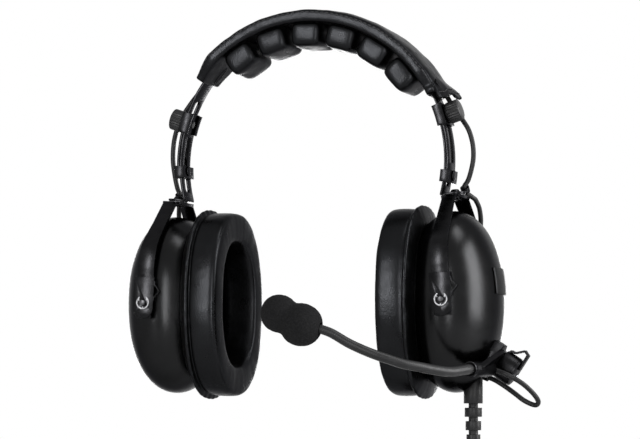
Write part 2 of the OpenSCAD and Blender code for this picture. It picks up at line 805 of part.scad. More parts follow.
module right_dome_shell() {
    color(black_plastic) other_side() dome_shell();
}

module seal_plate() {
    color(black_plastic) translate([plate_front, 0, 0]) across_x() linear_extrude(height = plate_t)
        difference() {
            oval_outline(plate_hy, plate_hz);
            oval_outline(ear_hy, ear_hz);
        }
}

module oval_outline(hy, hz) {
    polygon([for (p = cup_oval(0, hy, hz, 48)) [p[1], p[2]]]);
}

// The seal's section: distance from the middle, half width and half height of the oval there
seal_section = [
    [plate_front - soft_gap, ear_hy + 2, ear_hz + 2],
    [plate_front - soft_gap, plate_hy + soft_gap, plate_hz + soft_gap],
    [seam_x - soft_gap, plate_hy + soft_gap, plate_hz + soft_gap],
    [seam_x - soft_gap, neck_hy, neck_hz],
    [(seam_x + rim_x) / 2 + 0.6, (neck_hy + rim_hy) / 2, (neck_hz + rim_hz) / 2],
    [rim_x + 0.9, rim_hy, rim_hz],
    [rim_x - 0.9, rim_hy, rim_hz],
    [rim_x - 2.6, seal_hy - 0.7, seal_hz - 0.6],
    [rim_x - 8, seal_hy, seal_hz],
    [seal_face_x + 4.3, seal_hy - 0.8, seal_hz - 0.7],
    [seal_face_x + 1.2, seal_hy - 4, seal_hz - 3.4],
    [seal_face_x, seal_hy - 9.4, seal_hz - 8.2],
    [seal_face_x + 0.7, ear_hy + 4.8, ear_hz + 4.4],
    [seal_face_x + 4, ear_hy + 1, ear_hz + 1],
    [rim_x - 7, ear_hy, ear_hz]
];

module ear_seal() {
    color(black_vinyl) ring_loop([
        for (j = [0:39])
            let (a = 9 * j)
            [for (s = seal_section)
                [s[0], s[1] * rounded(cos(a), cup_power), s[2] * rounded(sin(a), cup_power)]]
    ]);
}

module foam_liner() {
    color(dark_foam) translate([liner_x, 0, 0]) across_x() linear_extrude(height = liner_t)
        oval_outline(neck_hy - neck_wall - 0.8, neck_hz - neck_wall - 0.8);
}

module receiver() {
    color(black_plastic) translate([receiver_x, 0, 0]) rotate([0, 90, 0]) {
        cylinder(h = receiver_t, d = receiver_d);
        translate([0, 0, receiver_t]) cylinder(h = 2, d = receiver_d * 0.6);
    }
}

module pivot_pin() {
    difference() {
        union() {
            translate([0, boss_in - 1, 0]) rotate([-90, 0, 0]) cylinder(h = 1, d = pin_d + 2.2);
            translate([0, boss_in, 0]) rotate([-90, 0, 0]) cylinder(h = pin_out - boss_in, d = pin_d);
        }
        translate([0, clip_in, 0]) rotate([-90, 0, 0]) difference() {
            cylinder(h = clip_t, d = pin_d + 2);
            translate([0, 0, -1]) cylinder(h = clip_t + 2, d = pin_d - 0.8);
        }
    }
}

module pivot_pins() {
    color(bright_steel) translate([pin_x, 0, 0]) front_and_back() pivot_pin();
}

module e_clip() {
    translate([0, clip_in, 0]) rotate([-90, 0, 0]) difference() {
        cylinder(h = clip_t, d = clip_d);
        translate([0, 0, -1]) cylinder(h = clip_t + 2, d = pin_d - 0.8);
        translate([1 - pin_d / 2, -clip_d, -1]) cube([pin_d - 2, clip_d, clip_t + 2]);
    }
}

module e_clips() {
    color(bright_steel) translate([pin_x, 0, 0]) front_and_back() e_clip();
}

// A bare plate that follows the dome's skin
module badge_plate() {
    front = -10;
    low = 4;
    columns = 8;
    rows = 4;
    back_gap = 0.15;
    color(bright_steel) ring_solid([
        for (i = [0:columns])
            let (y = front + badge_w * i / columns)
            concat(
                [for (k = [0:rows])
                    let (z = low + badge_h * k / rows)
                    [dome_face(y, z) + back_gap, y, z]],
                [for (k = [rows:-1:0])
                    let (z = low + badge_h * k / rows)
                    [dome_face(y, z) + back_gap + badge_t, y, z]]
            )
    ]);
}

// ---- Boom ----
module boom_hub() {
    color(black_plastic) difference() {
        on_hub() {
            translate([0, 0, -3]) rotate([0, 0, 22.5]) cylinder(h = hub_base_h + 3, d = hub_base_d, $fn = 8);
            cylinder(h = drum_s + 2, d = spindle_d);
        }
        dome_solid();
    }
}

module hub_cap() {
    color(black_plastic) on_hub() difference() {
        union() {
            translate([0, 0, drum_s]) cylinder(h = drum_h - 1.4, d = drum_d);
            translate([0, 0, drum_end - 1.4]) cylinder(h = 1.4, d = drum_d - 0.8);
        }
        translate([0, 0, drum_s - 1]) cylinder(h = 3, d = spindle_d);
    }
}

module hub_screws() {
    color(bright_steel) on_hub() for (side = [-1, 1])
        translate([2, side * (strap_w / 2 + 1.6), drum_end]) cylinder(h = 0.7, d = 2.4, $fn = 24);
}

module hub_strap() {
    color(black_plastic) on_hub() rotate([90, 0, 0]) translate([0, 0, -strap_w / 2])
        linear_extrude(height = strap_w) strip_outline([for (p = strap_line) [-p[1], p[0]]], strap_t);
}

module boom_bracket() {
    clamp_dir = clamp_front - clamp_rear;
    color(black_plastic) difference() {
        union() {
            on_hub() translate([0, 0, bracket_s]) linear_extrude(height = bracket_t)
                polygon(bracket_outline);
            along(clamp_rear, clamp_dir) cylinder(h = norm(clamp_dir), d = clamp_d);
        }
        along(clamp_rear - clamp_dir, clamp_dir) cylinder(h = 3 * norm(clamp_dir), d = boom_d + 2 * run_gap);
        on_hub() translate([0, 0, bracket_s - 3]) cylinder(h = bracket_t + 6, d = spindle_d + 2 * run_gap);
    }
}

module boom_collar() {
    clamp_dir = clamp_front - clamp_rear;
    color(bright_steel) along(clamp_front, clamp_dir) difference() {
        cylinder(h = 1.8, d = clamp_d + 0.6);
        translate([0, 0, -1]) cylinder(h = 4, d = boom_d + 4 * slip_gap);
    }
}

module boom_tube() {
    color(black_metal) tube(curve(boom_route, 3), boom_d, boom_tip_d, 12, [0, 0, 1]);
}

module mic_capsule() {
    color(black_plastic) along(boom_end, screen_pos - boom_end) translate([0, 0, soft_gap])
        cylinder(h = capsule_len, d = capsule_d);
}

// Two foam lobes with a waist, bored from behind for the capsule and the boom
module mic_windscreen() {
    color(dark_foam) difference() {
        along(screen_pos, screen_dir) {
            sphere(d = screen_rear_d);
            translate([0, 0, screen_gap]) sphere(d = screen_front_d);
        }
        along(boom_end, screen_pos - boom_end) {
            cylinder(h = capsule_len + 2 * soft_gap, d = capsule_d + 2 * soft_gap);
            translate([0, 0, -screen_rear_d]) cylinder(h = screen_rear_d + 1, d = boom_tip_d + 1.5);
        }
    }
}

module mic_lead() {
    color(black_rubber) tube(curve(mic_lead_route, 2), lead_d, lead_d, 8, [0, 1, 0]);
}

// ---- Crossover cable ----
function band_point(angle, r) = [r * cos(angle), lead_y, band_z + r * sin(angle)];

module cable_upper(cover_end, route) {
    clip_end = [for (back = [2.4, soft_gap]) from_swivel(clip_hold - back * clip_dir)];
    path = concat([band_point(cover_end, lead_r)], route, clip_end);
    color(black_rubber) tube(curve(path, 2), lead_d, lead_d, 8, [0, 1, 0]);
}

module cable_lower() {
    path = concat([clip_hold + soft_gap * clip_dir, clip_hold + 2.4 * clip_dir], lower_route);
    color(black_rubber) in_swivel() tube(curve(path, 2), lead_d, lead_d, 8, [1, 0, 0]);
}

// ---- Cord ----
module strain_relief() {
    neck = cord_d / 2 + 0.2;
    collar_end = relief_rib_top - relief_rib;
    stub = cord_d / 2 + 0.6;
    ribs = [for (k = [1:relief_ribs - 1])
        let (top = relief_rib_top - k * relief_pitch,
            r = (relief_d + (relief_tip_d - relief_d) * k / (relief_ribs - 1)) / 2)
        each [[neck, top], [r, top], [r, top - relief_rib], [neck, top - relief_rib]]];
    color(black_rubber) difference() {
        translate([relief_x, 0, 0]) rotate_extrude() polygon(concat(
            [[0, relief_top], [relief_d / 2, relief_top], [relief_d / 2, collar_end], [neck, collar_end]],
            ribs,
            [[stub, relief_rib_top - relief_ribs * relief_pitch], [stub, relief_end], [0, relief_end]]
        ));
        dome_solid();
    }
}

module cord_drop() {
    color(black_rubber) tube(curve(drop_route, 1), cord_d, cord_d, 12, [0, 1, 0]);
}

// The coil's middle line: a level helix with a straight diameter at each end
coil_line = concat(
    [coil_pos + [coil_r, 0, cord_d]],
    [for (k = [0:coil_turns * coil_step])
        let (a = 360 * k / coil_step)
        coil_pos + [coil_r * cos(a), coil_pitch * k / coil_step, -coil_r * sin(a)]],
    [coil_last - [0, 0, cord_d]]
);
coil_gap = min([
    for (i = [1:len(coil_line) - 1 - coil_step], j = [i + round(coil_step / 2):len(coil_line) - 1])
        norm(coil_line[i] - coil_line[j])
]) - cord_d;
echo(cord_coil_least_gap_mm = coil_gap);

module cord_coil() {
    color(black_rubber) tube(coil_line, cord_d, cord_d, 6, [0, 1, 0]);
}

module cord_tie() {
    room = cord_d / 2 + 0.6;
    y0 = coil_pitch / 2 - room;
    span = (coil_turns - 1) * coil_pitch + 2 * room;
    color(black_rubber) translate([coil_pos[0] - coil_r, 0, coil_pos[2] - 4]) difference() {
        translate([-room - 1, y0 - 1, 0]) cube([2 * room + 2, span + 2, 8]);
        translate([-room, y0, -1]) cube([2 * room, span, 10]);
    }
}

module cord_tail() {
    color(black_rubber) tube(curve(tail_route, 1), cord_d, cord_d, 12, [0, 1, 0]);
}

module plug_body() {
    color(black_plastic) translate([plug_top[0], plug_top[1], plug_top[2] - plug_h]) {
        cylinder(h = plug_h - 12, d = plug_d);
        translate([0, 0, plug_h - 12]) cylinder(h = 12, d1 = plug_d, d2 = cord_d + 2.5);
    }
}

module plug_pin() {
    tip = plug_top[2] - plug_h - plug_pin_h;
    color(bright_steel) translate([plug_top[0], plug_top[1], tip]) {
        translate([0, 0, 3]) cylinder(h = plug_pin_h - 3, d = plug_pin_d);
        cylinder(h = 3, d1 = plug_pin_d - 3, d2 = plug_pin_d);
    }
}

headband_spring();
headband_cover();
headband_pads();
band_keepers();
guide_rivets();
crossover_cable_top();
slide_arm();  // left_slide_arm
slide_keeper();  // left_slide_keeper
swivel_rivet();  // left_swivel_rivet
swivel_washer();  // left_swivel_washer
cable_clip();  // left_cable_clip
thumbscrew();  // left_thumbscrew
stirrup();  // left_stirrup
hangers();  // left_hangers
mirror([0, 1, 0]) hanger_springs();  // left_hanger_springs
left_dome_shell();
seal_plate();  // left_seal_plate
ear_seal();  // left_ear_seal
foam_liner();  // left_foam_liner
receiver();  // left_receiver
pivot_pins();  // left_pivot_pins
e_clips();  // left_e_clips
cable_upper(left_cover_end, left_upper_route);  // left_cable_upper
cable_lower();  // left_cable_lower
other_side() slide_arm();  // right_slide_arm
other_side() slide_keeper();  // right_slide_keeper
other_side() swivel_rivet();  // right_swivel_rivet
other_side() swivel_washer();  // right_swivel_washer
other_side() cable_clip();  // right_cable_clip
other_side() thumbscrew();  // right_thumbscrew
other_side() stirrup();  // right_stirrup
other_side() hangers();  // right_hangers
other_side() hanger_springs();  // right_hanger_springs
right_dome_shell();
other_side() seal_plate();  // right_seal_plate
other_side() ear_seal();  // right_ear_seal
other_side() foam_liner();  // right_foam_liner
other_side() receiver();  // right_receiver
other_side() pivot_pins();  // right_pivot_pins
other_side() e_clips();  // right_e_clips
other_side() cable_upper(right_cover_end, right_upper_route);  // right_cable_upper
other_side() cable_lower();  // right_cable_lower
badge_plate();
boom_hub();
hub_cap();
hub_screws();
hub_strap();
boom_bracket();
boom_collar();
boom_tube();
mic_capsule();
mic_windscreen();
mic_lead();
strain_relief();
cord_drop();
cord_coil();
cord_tie();
cord_tail();
plug_body();
plug_pin();
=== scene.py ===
# %% [markdown]
# # Dressing an aviation headset
# The imported model gives every rigid part in its place, and this lesson gives them the look of the
# real thing: soft vinyl, satin shells, blackened steel, foam and rubber. Everything is in metres,
# +Z is up, the wearer faces -Y, and the boom is on the +X cup. The script starts by loading the
# imported model as a fixed frame. Pieces that come in pairs are made for the +X side, which is the
# wearer's left, and turned over for the other side.

# %% Load the frame
import bpy, json, math
from math import sin, cos, pi, radians
from mathutils import Vector, Matrix, noise

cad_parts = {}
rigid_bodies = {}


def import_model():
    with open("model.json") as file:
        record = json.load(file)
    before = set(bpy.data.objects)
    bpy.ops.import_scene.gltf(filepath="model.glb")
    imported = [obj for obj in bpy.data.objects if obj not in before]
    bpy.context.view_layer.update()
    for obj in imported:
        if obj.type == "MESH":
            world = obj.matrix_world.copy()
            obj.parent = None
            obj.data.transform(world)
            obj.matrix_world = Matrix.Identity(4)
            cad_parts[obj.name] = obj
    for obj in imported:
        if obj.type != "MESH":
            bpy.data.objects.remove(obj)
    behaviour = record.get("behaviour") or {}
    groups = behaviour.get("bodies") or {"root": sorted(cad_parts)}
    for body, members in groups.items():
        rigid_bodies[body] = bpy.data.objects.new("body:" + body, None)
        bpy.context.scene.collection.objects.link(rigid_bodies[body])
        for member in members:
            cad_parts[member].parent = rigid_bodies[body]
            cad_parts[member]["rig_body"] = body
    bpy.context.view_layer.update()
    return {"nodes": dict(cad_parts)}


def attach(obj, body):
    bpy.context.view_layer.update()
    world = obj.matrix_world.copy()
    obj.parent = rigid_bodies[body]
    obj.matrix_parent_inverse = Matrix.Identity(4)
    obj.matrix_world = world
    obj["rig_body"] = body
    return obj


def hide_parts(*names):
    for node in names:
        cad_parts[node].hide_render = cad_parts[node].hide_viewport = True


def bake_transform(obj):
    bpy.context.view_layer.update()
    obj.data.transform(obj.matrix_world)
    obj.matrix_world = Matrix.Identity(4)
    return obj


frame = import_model()
nodes = frame["nodes"]
scene = bpy.context.scene
MM = 0.001
SIDES = (("left", 1), ("right", -1))

# %% [markdown]
# ## The camera
# The camera stands a little to one side and just under the line of the ears, with a long lens. Its
# place and the point it looks at give its turn, and the lens follows from the distance. It looks at
# a point inside the headset, so no shift is needed.

# %% Camera
view_from = Vector((0.5077, -1.5236, -0.0558))
looks_at = Vector((0.0035, -0.0005, 0.0489))
forward = (looks_at - view_from).normalized()
upward = Vector((0.011, -0.033, 0.9994))
rightward = forward.cross(upward).normalized()
upward = rightward.cross(forward)
turn = Matrix((rightward, upward, -forward)).transposed().to_4x4()
camera = bpy.data.objects.new("camera", bpy.data.cameras.new("camera"))
scene.collection.objects.link(camera)
camera.matrix_world = Matrix.Translation(view_from) @ turn
camera.data.lens = 155.1
camera.data.sensor_width = 36
camera.data.clip_end = 30
scene.camera = camera
print("camera", round((looks_at - view_from).length, 3), "m away, lens", camera.data.lens)

# %% [markdown]
# ## Small helpers
# Most pieces here start as a primitive, are shaped in edit mode and are finished by modifiers.
# These helpers keep that short. They deselect all, leave edit mode, name a new piece, add a
# modifier, apply all modifiers and smooth the piece by angle, turn it over to the other side, or
# put it on its body with its material.

# %% Helpers for every piece
def clear_selection():
    if bpy.context.mode != "OBJECT":
        bpy.ops.object.mode_set(mode="OBJECT")
    bpy.ops.object.select_all(action="DESELECT")


def leave_edit_mode():
    bpy.ops.mesh.select_all(action="DESELECT")
    bpy.ops.object.mode_set(mode="OBJECT")


def make_active(piece):
    clear_selection()
    piece.select_set(True)
    bpy.context.view_layer.objects.active = piece


def just_made(name):
    """The piece that the last primitive made, under its own name."""
    piece = bpy.context.view_layer.objects.active
    piece.name = name
    return piece


def subdivide(piece, levels):
    smooth = piece.modifiers.new("smooth", "SUBSURF")
    smooth.levels = smooth.render_levels = levels


def give_wall(piece, thickness, offset):
    wall = piece.modifiers.new("wall", "SOLIDIFY")
    wall.thickness, wall.offset = thickness, offset


def break_edges(piece, width, segments=2, angle=50):
    """Runs a narrow bevel along the edges that turn by more than an angle in degrees."""
    edge = piece.modifiers.new("edge", "BEVEL")
    edge.width, edge.segments = width, segments
    edge.limit_method, edge.angle_limit = "ANGLE", radians(angle)


def apply_all(piece, smooth_angle=35):
    make_active(piece)
    for modifier in list(piece.modifiers):
        bpy.ops.object.modifier_apply(modifier=modifier.name)
    bpy.ops.object.transform_apply(location=True, rotation=True, scale=True)
    if smooth_angle:
        bpy.ops.object.shade_smooth_by_angle(angle=radians(smooth_angle))
    clear_selection()


def smooth_all_over(piece):
    make_active(piece)
    bpy.ops.object.shade_smooth()
    clear_selection()


def turn_over(piece):
    """Puts a piece that was made for the boom side on the other side, the right way out."""
    piece.data.transform(Matrix.Diagonal((-1, 1, 1, 1)))
    piece.data.flip_normals()


def settle(piece, body, material, slot, *replaced):
    piece.data.materials.clear()
    piece.data.materials.append(material)
    if body:
        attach(piece, body)
    if replaced:
        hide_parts(*replaced)
    return piece


print("helpers ready")

# %% [markdown]
# Two frames of reference come back all the time: the arc of the headband, and the frame of a
# swivel, which leans a little because the slides do.

# %% The arc and the swivel
BAND_CENTRE = 0.082
LEAN = radians(3.8185)
PIN_X = 0.08925


def arc_point(angle, radius, y=0.0):
    """A point round the headband's arc: an angle above the boom side's level, in degrees."""
    turned = radians(angle)
    return Vector((radius * cos(turned), y, BAND_CENTRE + radius * sin(turned)))


def arc_outward(angle):
    return arc_point(angle, 1.0) - arc_point(angle, 0.0)


def from_swivel(p, side=1):
    """A point of the swivel's leaning frame, which starts between a cup's tilt pins, in mm."""
    x = PIN_X + (p[0] * cos(LEAN) - p[2] * sin(LEAN)) * MM
    return Vector((side * x, p[1] * MM, (p[0] * sin(LEAN) + p[2] * cos(LEAN)) * MM))


print("band centre", BAND_CENTRE, "m up, tilt pins", PIN_X, "m out")

# %% [markdown]
# ## Finishes
# Nearly every part is black, so the finishes differ by gloss and grain alone. Each material starts
# from one recipe: a base colour that noise varies a little, a roughness that another noise varies,
# and a bump that gives the grain. Patterns read Object coordinates in metres, so a scale of 1000
# gives details of about a millimetre.
#
# The smooth blacks have a dark metallic base, which reflects about a hundredth of the light, and a
# low tint for reflections seen edge-on. A plain dielectric black turns grey there, because it
# mirrors the white surround. Foam, rubber, knobs and thread are rough enough to do without that.

# %% The recipe for a finish
def link(tree, a, b):
    tree.links.new(a, b)


def noise_node(tree, coords, scale, detail=3.0, rough=0.5):
    node = tree.nodes.new("ShaderNodeTexNoise")
    node.inputs["Scale"].default_value = scale
    node.inputs["Detail"].default_value = detail
    node.inputs["Roughness"].default_value = rough
    link(tree, coords, node.inputs["Vector"])
    return node.outputs["Fac"]


def ramp_node(tree, value, low, high, at=(0.3, 0.7)):
    node = tree.nodes.new("ShaderNodeMapRange")
    node.inputs["From Min"].default_value = at[0]
    node.inputs["From Max"].default_value = at[1]
    node.inputs["To Min"].default_value = low
    node.inputs["To Max"].default_value = high
    link(tree, value, node.inputs["Value"])
    return node.outputs["Result"]


def add_cells(tree, coords, scale):
    cells = tree.nodes.new("ShaderNodeTexVoronoi")
    cells.inputs["Scale"].default_value = scale
    link(tree, coords, cells.inputs["Vector"])
    return cells.outputs["Distance"]


def add_bump(tree, surface, height, strength, distance):
    """Adds a bump on top of the ones that the surface has already."""
    bump = tree.nodes.new("ShaderNodeBump")
    bump.inputs["Strength"].default_value = strength
    bump.inputs["Distance"].default_value = distance
    link(tree, height, bump.inputs["Height"])
    old = surface.inputs["Normal"].links
    if old:
        link(tree, old[0].from_socket, bump.inputs["Normal"])
    link(tree, bump.outputs["Normal"], surface.inputs["Normal"])


def new_finish(name, dark, light, rough, metal=0.0, specular=0.5, blotch=60.0, tint=None,
               grain=None):
    """A material whose colour goes from dark to light and whose roughness has two limits.

    Blotch is the scale of its variation, tint the colour of its reflection seen edge-on, and grain
    the scale, detail, strength and depth of a bump.
    """
    made = bpy.data.materials.new(name)
    made.use_nodes = True
    tree = made.node_tree
    surface = tree.nodes["Principled BSDF"]
    surface.inputs["Metallic"].default_value = metal
    surface.inputs["Specular IOR Level"].default_value = specular
    if tint:
        surface.inputs["Specular Tint"].default_value = (*tint, 1)
    coords = tree.nodes.new("ShaderNodeTexCoord").outputs["Object"]
    colour = tree.nodes.new("ShaderNodeMix")
    colour.data_type = "RGBA"
    colour.inputs["A"].default_value = (*dark, 1)
    colour.inputs["B"].default_value = (*light, 1)
    link(tree, ramp_node(tree, noise_node(tree, coords, blotch, 5), 0, 1), colour.inputs["Factor"])
    link(tree, colour.outputs["Result"], surface.inputs["Base Color"])
    varied = noise_node(tree, coords, blotch * 3.1, 4)
    link(tree, ramp_node(tree, varied, rough[0], rough[1]), surface.inputs["Roughness"])
    if grain:
        scale, detail, strength, depth = grain
        add_bump(tree, surface, noise_node(tree, coords, scale, detail), strength, depth)
    return made, tree, surface, coords


def plain_finish(*values, **more):
    return new_finish(*values, **more)[0]


print("recipe ready")

# %% [markdown]
# ### Steel, plastics and foam
# The strips are blackened steel. Bright steel is kept for the hub's screws; washers and pins are
# worn and darker, and the E-clips lie between the two. The badge is brushed along the headset. The
# shells are moulded with a fine sand texture, and the knobs are a little rougher than the hub.

# %% Metals
black_steel = plain_finish(
    "black_steel", (0.008, 0.008, 0.0085), (0.0135, 0.0135, 0.0143), (0.2, 0.3), 1.0, blotch=90,
    tint=(0.53, 0.53, 0.54), grain=(1400, 4, 0.12, 0.0002))
bright_steel = plain_finish(
    "bright_steel", (0.42, 0.43, 0.45), (0.62, 0.63, 0.65), (0.22, 0.36), 1.0, blotch=300,
    grain=(3000, 2, 0.08, 0.0001))
worn_steel = plain_finish(
    "worn_steel", (0.03, 0.03, 0.032), (0.07, 0.07, 0.073), (0.28, 0.42), 0.9, blotch=500,
    grain=(2400, 3, 0.1, 0.0001))
clip_steel = plain_finish(
    "clip_steel", (0.1, 0.1, 0.104), (0.2, 0.2, 0.206), (0.3, 0.42), 1.0, blotch=400,
    grain=(2800, 2, 0.1, 0.0001))
plug_brass = plain_finish(
    "plug_metal", (0.5, 0.48, 0.42), (0.66, 0.62, 0.52), (0.16, 0.3), 1.0, blotch=200)

badge_metal, tree, surface, coords = new_finish(
    "badge_metal", (0.02, 0.02, 0.021), (0.03, 0.03, 0.031), (0.3, 0.4), 1.0, blotch=200,
    tint=(0.52, 0.52, 0.52))
stretch = tree.nodes.new("ShaderNodeMapping")
stretch.inputs["Scale"].default_value = (1, 0.04, 1)
link(tree, coords, stretch.inputs["Vector"])
add_bump(tree, surface, noise_node(tree, stretch.outputs["Vector"], 6000, 2), 0.1, 0.0001)
print("metals", black_steel.name, bright_steel.name, badge_metal.name, plug_brass.name)

# %% Plastics, foam and rubber
LOW_TINT = (0.5, 0.5, 0.505)
dome_plastic, tree, surface, coords = new_finish(
    "dome_plastic", (0.0125, 0.0126, 0.013), (0.016, 0.0161, 0.0166), (0.2, 0.26), 1.0, blotch=40,
    tint=LOW_TINT)
add_bump(tree, surface, noise_node(tree, coords, 2300, 3, 0.6), 0.2, 0.0002)
hub_plastic = plain_finish(
    "hub_plastic", (0.009, 0.009, 0.0095), (0.013, 0.013, 0.0137), (0.28, 0.38), 1.0, blotch=120,
    tint=LOW_TINT, grain=(2600, 2, 0.15, 0.00015))
knob_plastic = plain_finish(
    "knob_plastic", (0.005, 0.005, 0.0054), (0.01, 0.01, 0.0105), (0.36, 0.48), specular=0.22,
    blotch=260, grain=(2400, 3, 0.25, 0.0002))
plug_plastic = plain_finish(
    "plug_plastic", (0.004, 0.004, 0.0044), (0.008, 0.008, 0.0084), (0.4, 0.52), specular=0.16,
    blotch=100, grain=(2200, 2, 0.2, 0.0002))
cable_jacket = plain_finish(
    "cable_jacket", (0.004, 0.004, 0.0044), (0.008, 0.008, 0.0084), (0.38, 0.48), specular=0.16,
    blotch=150, grain=(1500, 3, 0.2, 0.0002))
gooseneck = plain_finish(
    "gooseneck", (0.006, 0.006, 0.0064), (0.011, 0.011, 0.0115), (0.32, 0.44), specular=0.18,
    blotch=140, grain=(1800, 2, 0.12, 0.00015))
thread = plain_finish(
    "thread", (0.012, 0.012, 0.013), (0.028, 0.028, 0.03), (0.6, 0.75), specular=0.2, blotch=800,
    grain=(5200, 2, 0.4, 0.0001))

open_foam, tree, surface, coords = new_finish(
    "open_foam", (0.004, 0.004, 0.0042), (0.01, 0.01, 0.0104), (0.9, 1.0), specular=0.06,
    blotch=1300)
add_bump(tree, surface, add_cells(tree, coords, 1500), 0.5, 0.0003)
add_bump(tree, surface, noise_node(tree, coords, 600, 4, 0.6), 0.3, 0.0004)
print("plastics, foam and rubber made")

# %% [markdown]
# ### Padded vinyl
# Vinyl that is stretched over foam is a satin black with a fine pebble grain and broad soft
# creases. Cells make the pebbles, a wide noise makes the creases, and a trace of coat and sheen
# softens its highlights.

# %% Vinyl
padded_vinyl, tree, surface, coords = new_finish(
    "padded_vinyl", (0.0088, 0.009, 0.0097), (0.0118, 0.0122, 0.0132), (0.26, 0.36), 1.0, blotch=45,
    tint=LOW_TINT)
surface.inputs["Coat Weight"].default_value = 0.02
surface.inputs["Coat Roughness"].default_value = 0.3
surface.inputs["Sheen Weight"].default_value = 0.004
surface.inputs["Sheen Roughness"].default_value = 0.5
add_bump(tree, surface, add_cells(tree, coords, 1500), 0.22, 0.0002)
add_bump(tree, surface, noise_node(tree, coords, 260, 4, 0.6), 0.15, 0.0006)
print("vinyl", padded_vinyl.name)

# %% [markdown]
# ## Cables and the cord
# A cable is a round tube along a smooth line. The line goes through a few given points, and a
# spline between them keeps it free of kinks. The tube is made from a curve with a round bevel,
# because a curve keeps its section square to the path, and is then turned into a mesh.

# %% Tubes along smooth lines
def smooth_line(points, steps):
    """Points of a smooth line through the given points, in metres from millimetres."""
    p = [Vector(q) * MM for q in points]
    line = []
    for i in range(len(p) - 1):
        a, b, c, d = p[max(i - 1, 0)], p[i], p[i + 1], p[min(i + 2, len(p) - 1)]
        for k in range(steps):
            t = k / steps
            line.append(b + ((c - a) * t + (2 * a - 5 * b + 4 * c - d) * t * t
                             + (3 * b - a - 3 * c + d) * t ** 3) / 2)
    return line + [p[-1]]


def line_length(line):
    return sum((b - a).length for a, b in zip(line, line[1:]))


def cable(name, line, diameter, rounds=4, swell=None):
    clear_selection()
    shape = bpy.data.curves.new(name, "CURVE")
    shape.dimensions = "3D"
    shape.bevel_depth = diameter / 2
    shape.bevel_resolution = rounds
    shape.use_fill_caps = True
    spline = shape.splines.new("POLY")
    spline.points.add(len(line) - 1)
    for k, (point, place) in enumerate(zip(spline.points, line)):
        point.co = (*place, 1)
        if swell:
            point.radius = swell(k)
    piece = bpy.data.objects.new(name, shape)
    scene.collection.objects.link(piece)
    make_active(piece)
    bpy.ops.object.convert(target="MESH")
    piece = bpy.context.view_layer.objects.active
    bpy.ops.object.shade_smooth_by_angle(angle=radians(50))
    clear_selection()
    return piece


print("cable helpers ready")

# %% [markdown]
# The lead below the boom side's cup drops from its strain relief, and the length that isn't in use
# is wound into a neat round coil of eight turns with a tie round it. It ends in a plug.

# %% Cord
CORD_D = 0.005
turns, per_turn = 8, 48
coil_r, coil_pitch = 27.5, 5.6
coil_x, coil_z, cord_x = 67.9, -133, 95.4
drop = smooth_line([(cord_x, 0, z) for z in (-95.9, -108, -120, -128)], 4)
coil = []
for k in range(turns * per_turn + 1):
    a = 2 * pi * k / per_turn
    coil.append(Vector((coil_x + coil_r * cos(a), coil_pitch * k / per_turn,
                        coil_z - coil_r * sin(a))) * MM)
tail = smooth_line([(cord_x, turns * coil_pitch, z) for z in (-138, -151, -163, -175)], 4)
cord_line = drop + coil + tail
headset_cord = cable("headset_cord", cord_line, CORD_D)
settle(headset_cord, "left_dome", cable_jacket, "cable_jacket",
       "cord_drop", "cord_coil", "cord_tail")
print("cord", round(line_length(cord_line), 3), "m")

# %% [markdown]
# ### Crossover cable
# One thin cable links the cups. It runs inside the cover, leaves it at the back edge of each end,
# bows out past the adjuster, is held by a clip on the slide and goes down into the dome.

# %% Crossover cable
LEAD_D = 0.0029
cover_ends = {"left": 25.5, "right": 36.0}
inside_r, inside_y = 0.08615, 0.0104
upper_points = {
    "left": [(81.5, 10.4, 112.8), (86.5, 10.4, 106), (90.5, 10.4, 99.5), (92.8, 10.4, 91.5),
             (93.2, 10.4, 83.7), (92, 10.4, 76.8), (90, 10.4, 70.5)],
    "right": [(76.5, 10.4, 126.5), (83.5, 10.4, 118), (88.5, 10.4, 110), (91.5, 10.4, 101.5),
              (92.7, 10.4, 93.5), (92.7, 10.4, 85.5), (91.5, 10.4, 77.3), (90, 10.4, 70.5)],
}
clip_hold = (3.3, 10.4, 65.122)
clip_start = (3.3, 9.08, 66.882)
middle_points = [clip_hold, (3.3, 11.72, 63.36), (4.4, 14.8, 62.1), (6.7, 18.8, 59.6)]
low_points = [(6.7, 18.8, 59.6), (7.8, 22, 55), (7.8, 24, 49), (7.2, 25.1, 45), (7, 25.2, 42.5)]

inside = [arc_point(a / 4, inside_r, inside_y) for a in range(102, 577, 6)]
cable_top = cable("cable_in_cover", inside, LEAD_D)
settle(cable_top, "headband", cable_jacket, "cable_jacket", "crossover_cable_top")
crossover = {}
for side, flip in SIDES:
    start = arc_point(cover_ends[side], inside_r, inside_y)
    clip = [from_swivel(clip_start), from_swivel(clip_hold)]
    points = [tuple(start / MM)] + upper_points[side] + [tuple(c / MM) for c in clip]
    upper_line = [Vector((flip * p.x, p.y, p.z)) for p in smooth_line(points, 4)]
    upper = cable(side + "_cable_upper_run", upper_line, LEAD_D)
    settle(upper, None, cable_jacket, "cable_jacket", side + "_cable_upper")
    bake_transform(upper)

    lines = []
    for route in (middle_points, low_points):
        line = smooth_line(route, 5)
        lines.append([from_swivel(p / MM, flip) for p in line])
    middle = cable(side + "_cable_at_swivel", lines[0], LEAD_D)
    settle(middle, None, cable_jacket, "cable_jacket", side + "_cable_lower")
    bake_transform(middle)
    low = cable(side + "_cable_to_dome", lines[1], LEAD_D)
    settle(low, None, cable_jacket, "cable_jacket", side + "_cable_lower")
    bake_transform(low)
    crossover[side] = (upper, middle, low, upper_line)
    print(side, "crossover cable", round(line_length(upper_line), 4), "m to its clip")

# %% [markdown]
# ### Microphone lead
# The microphone's lead leaves the rear end of the boom, loops outwards round the hub's drum and
# goes back into the dome, so that the boom can turn without pulling on it.

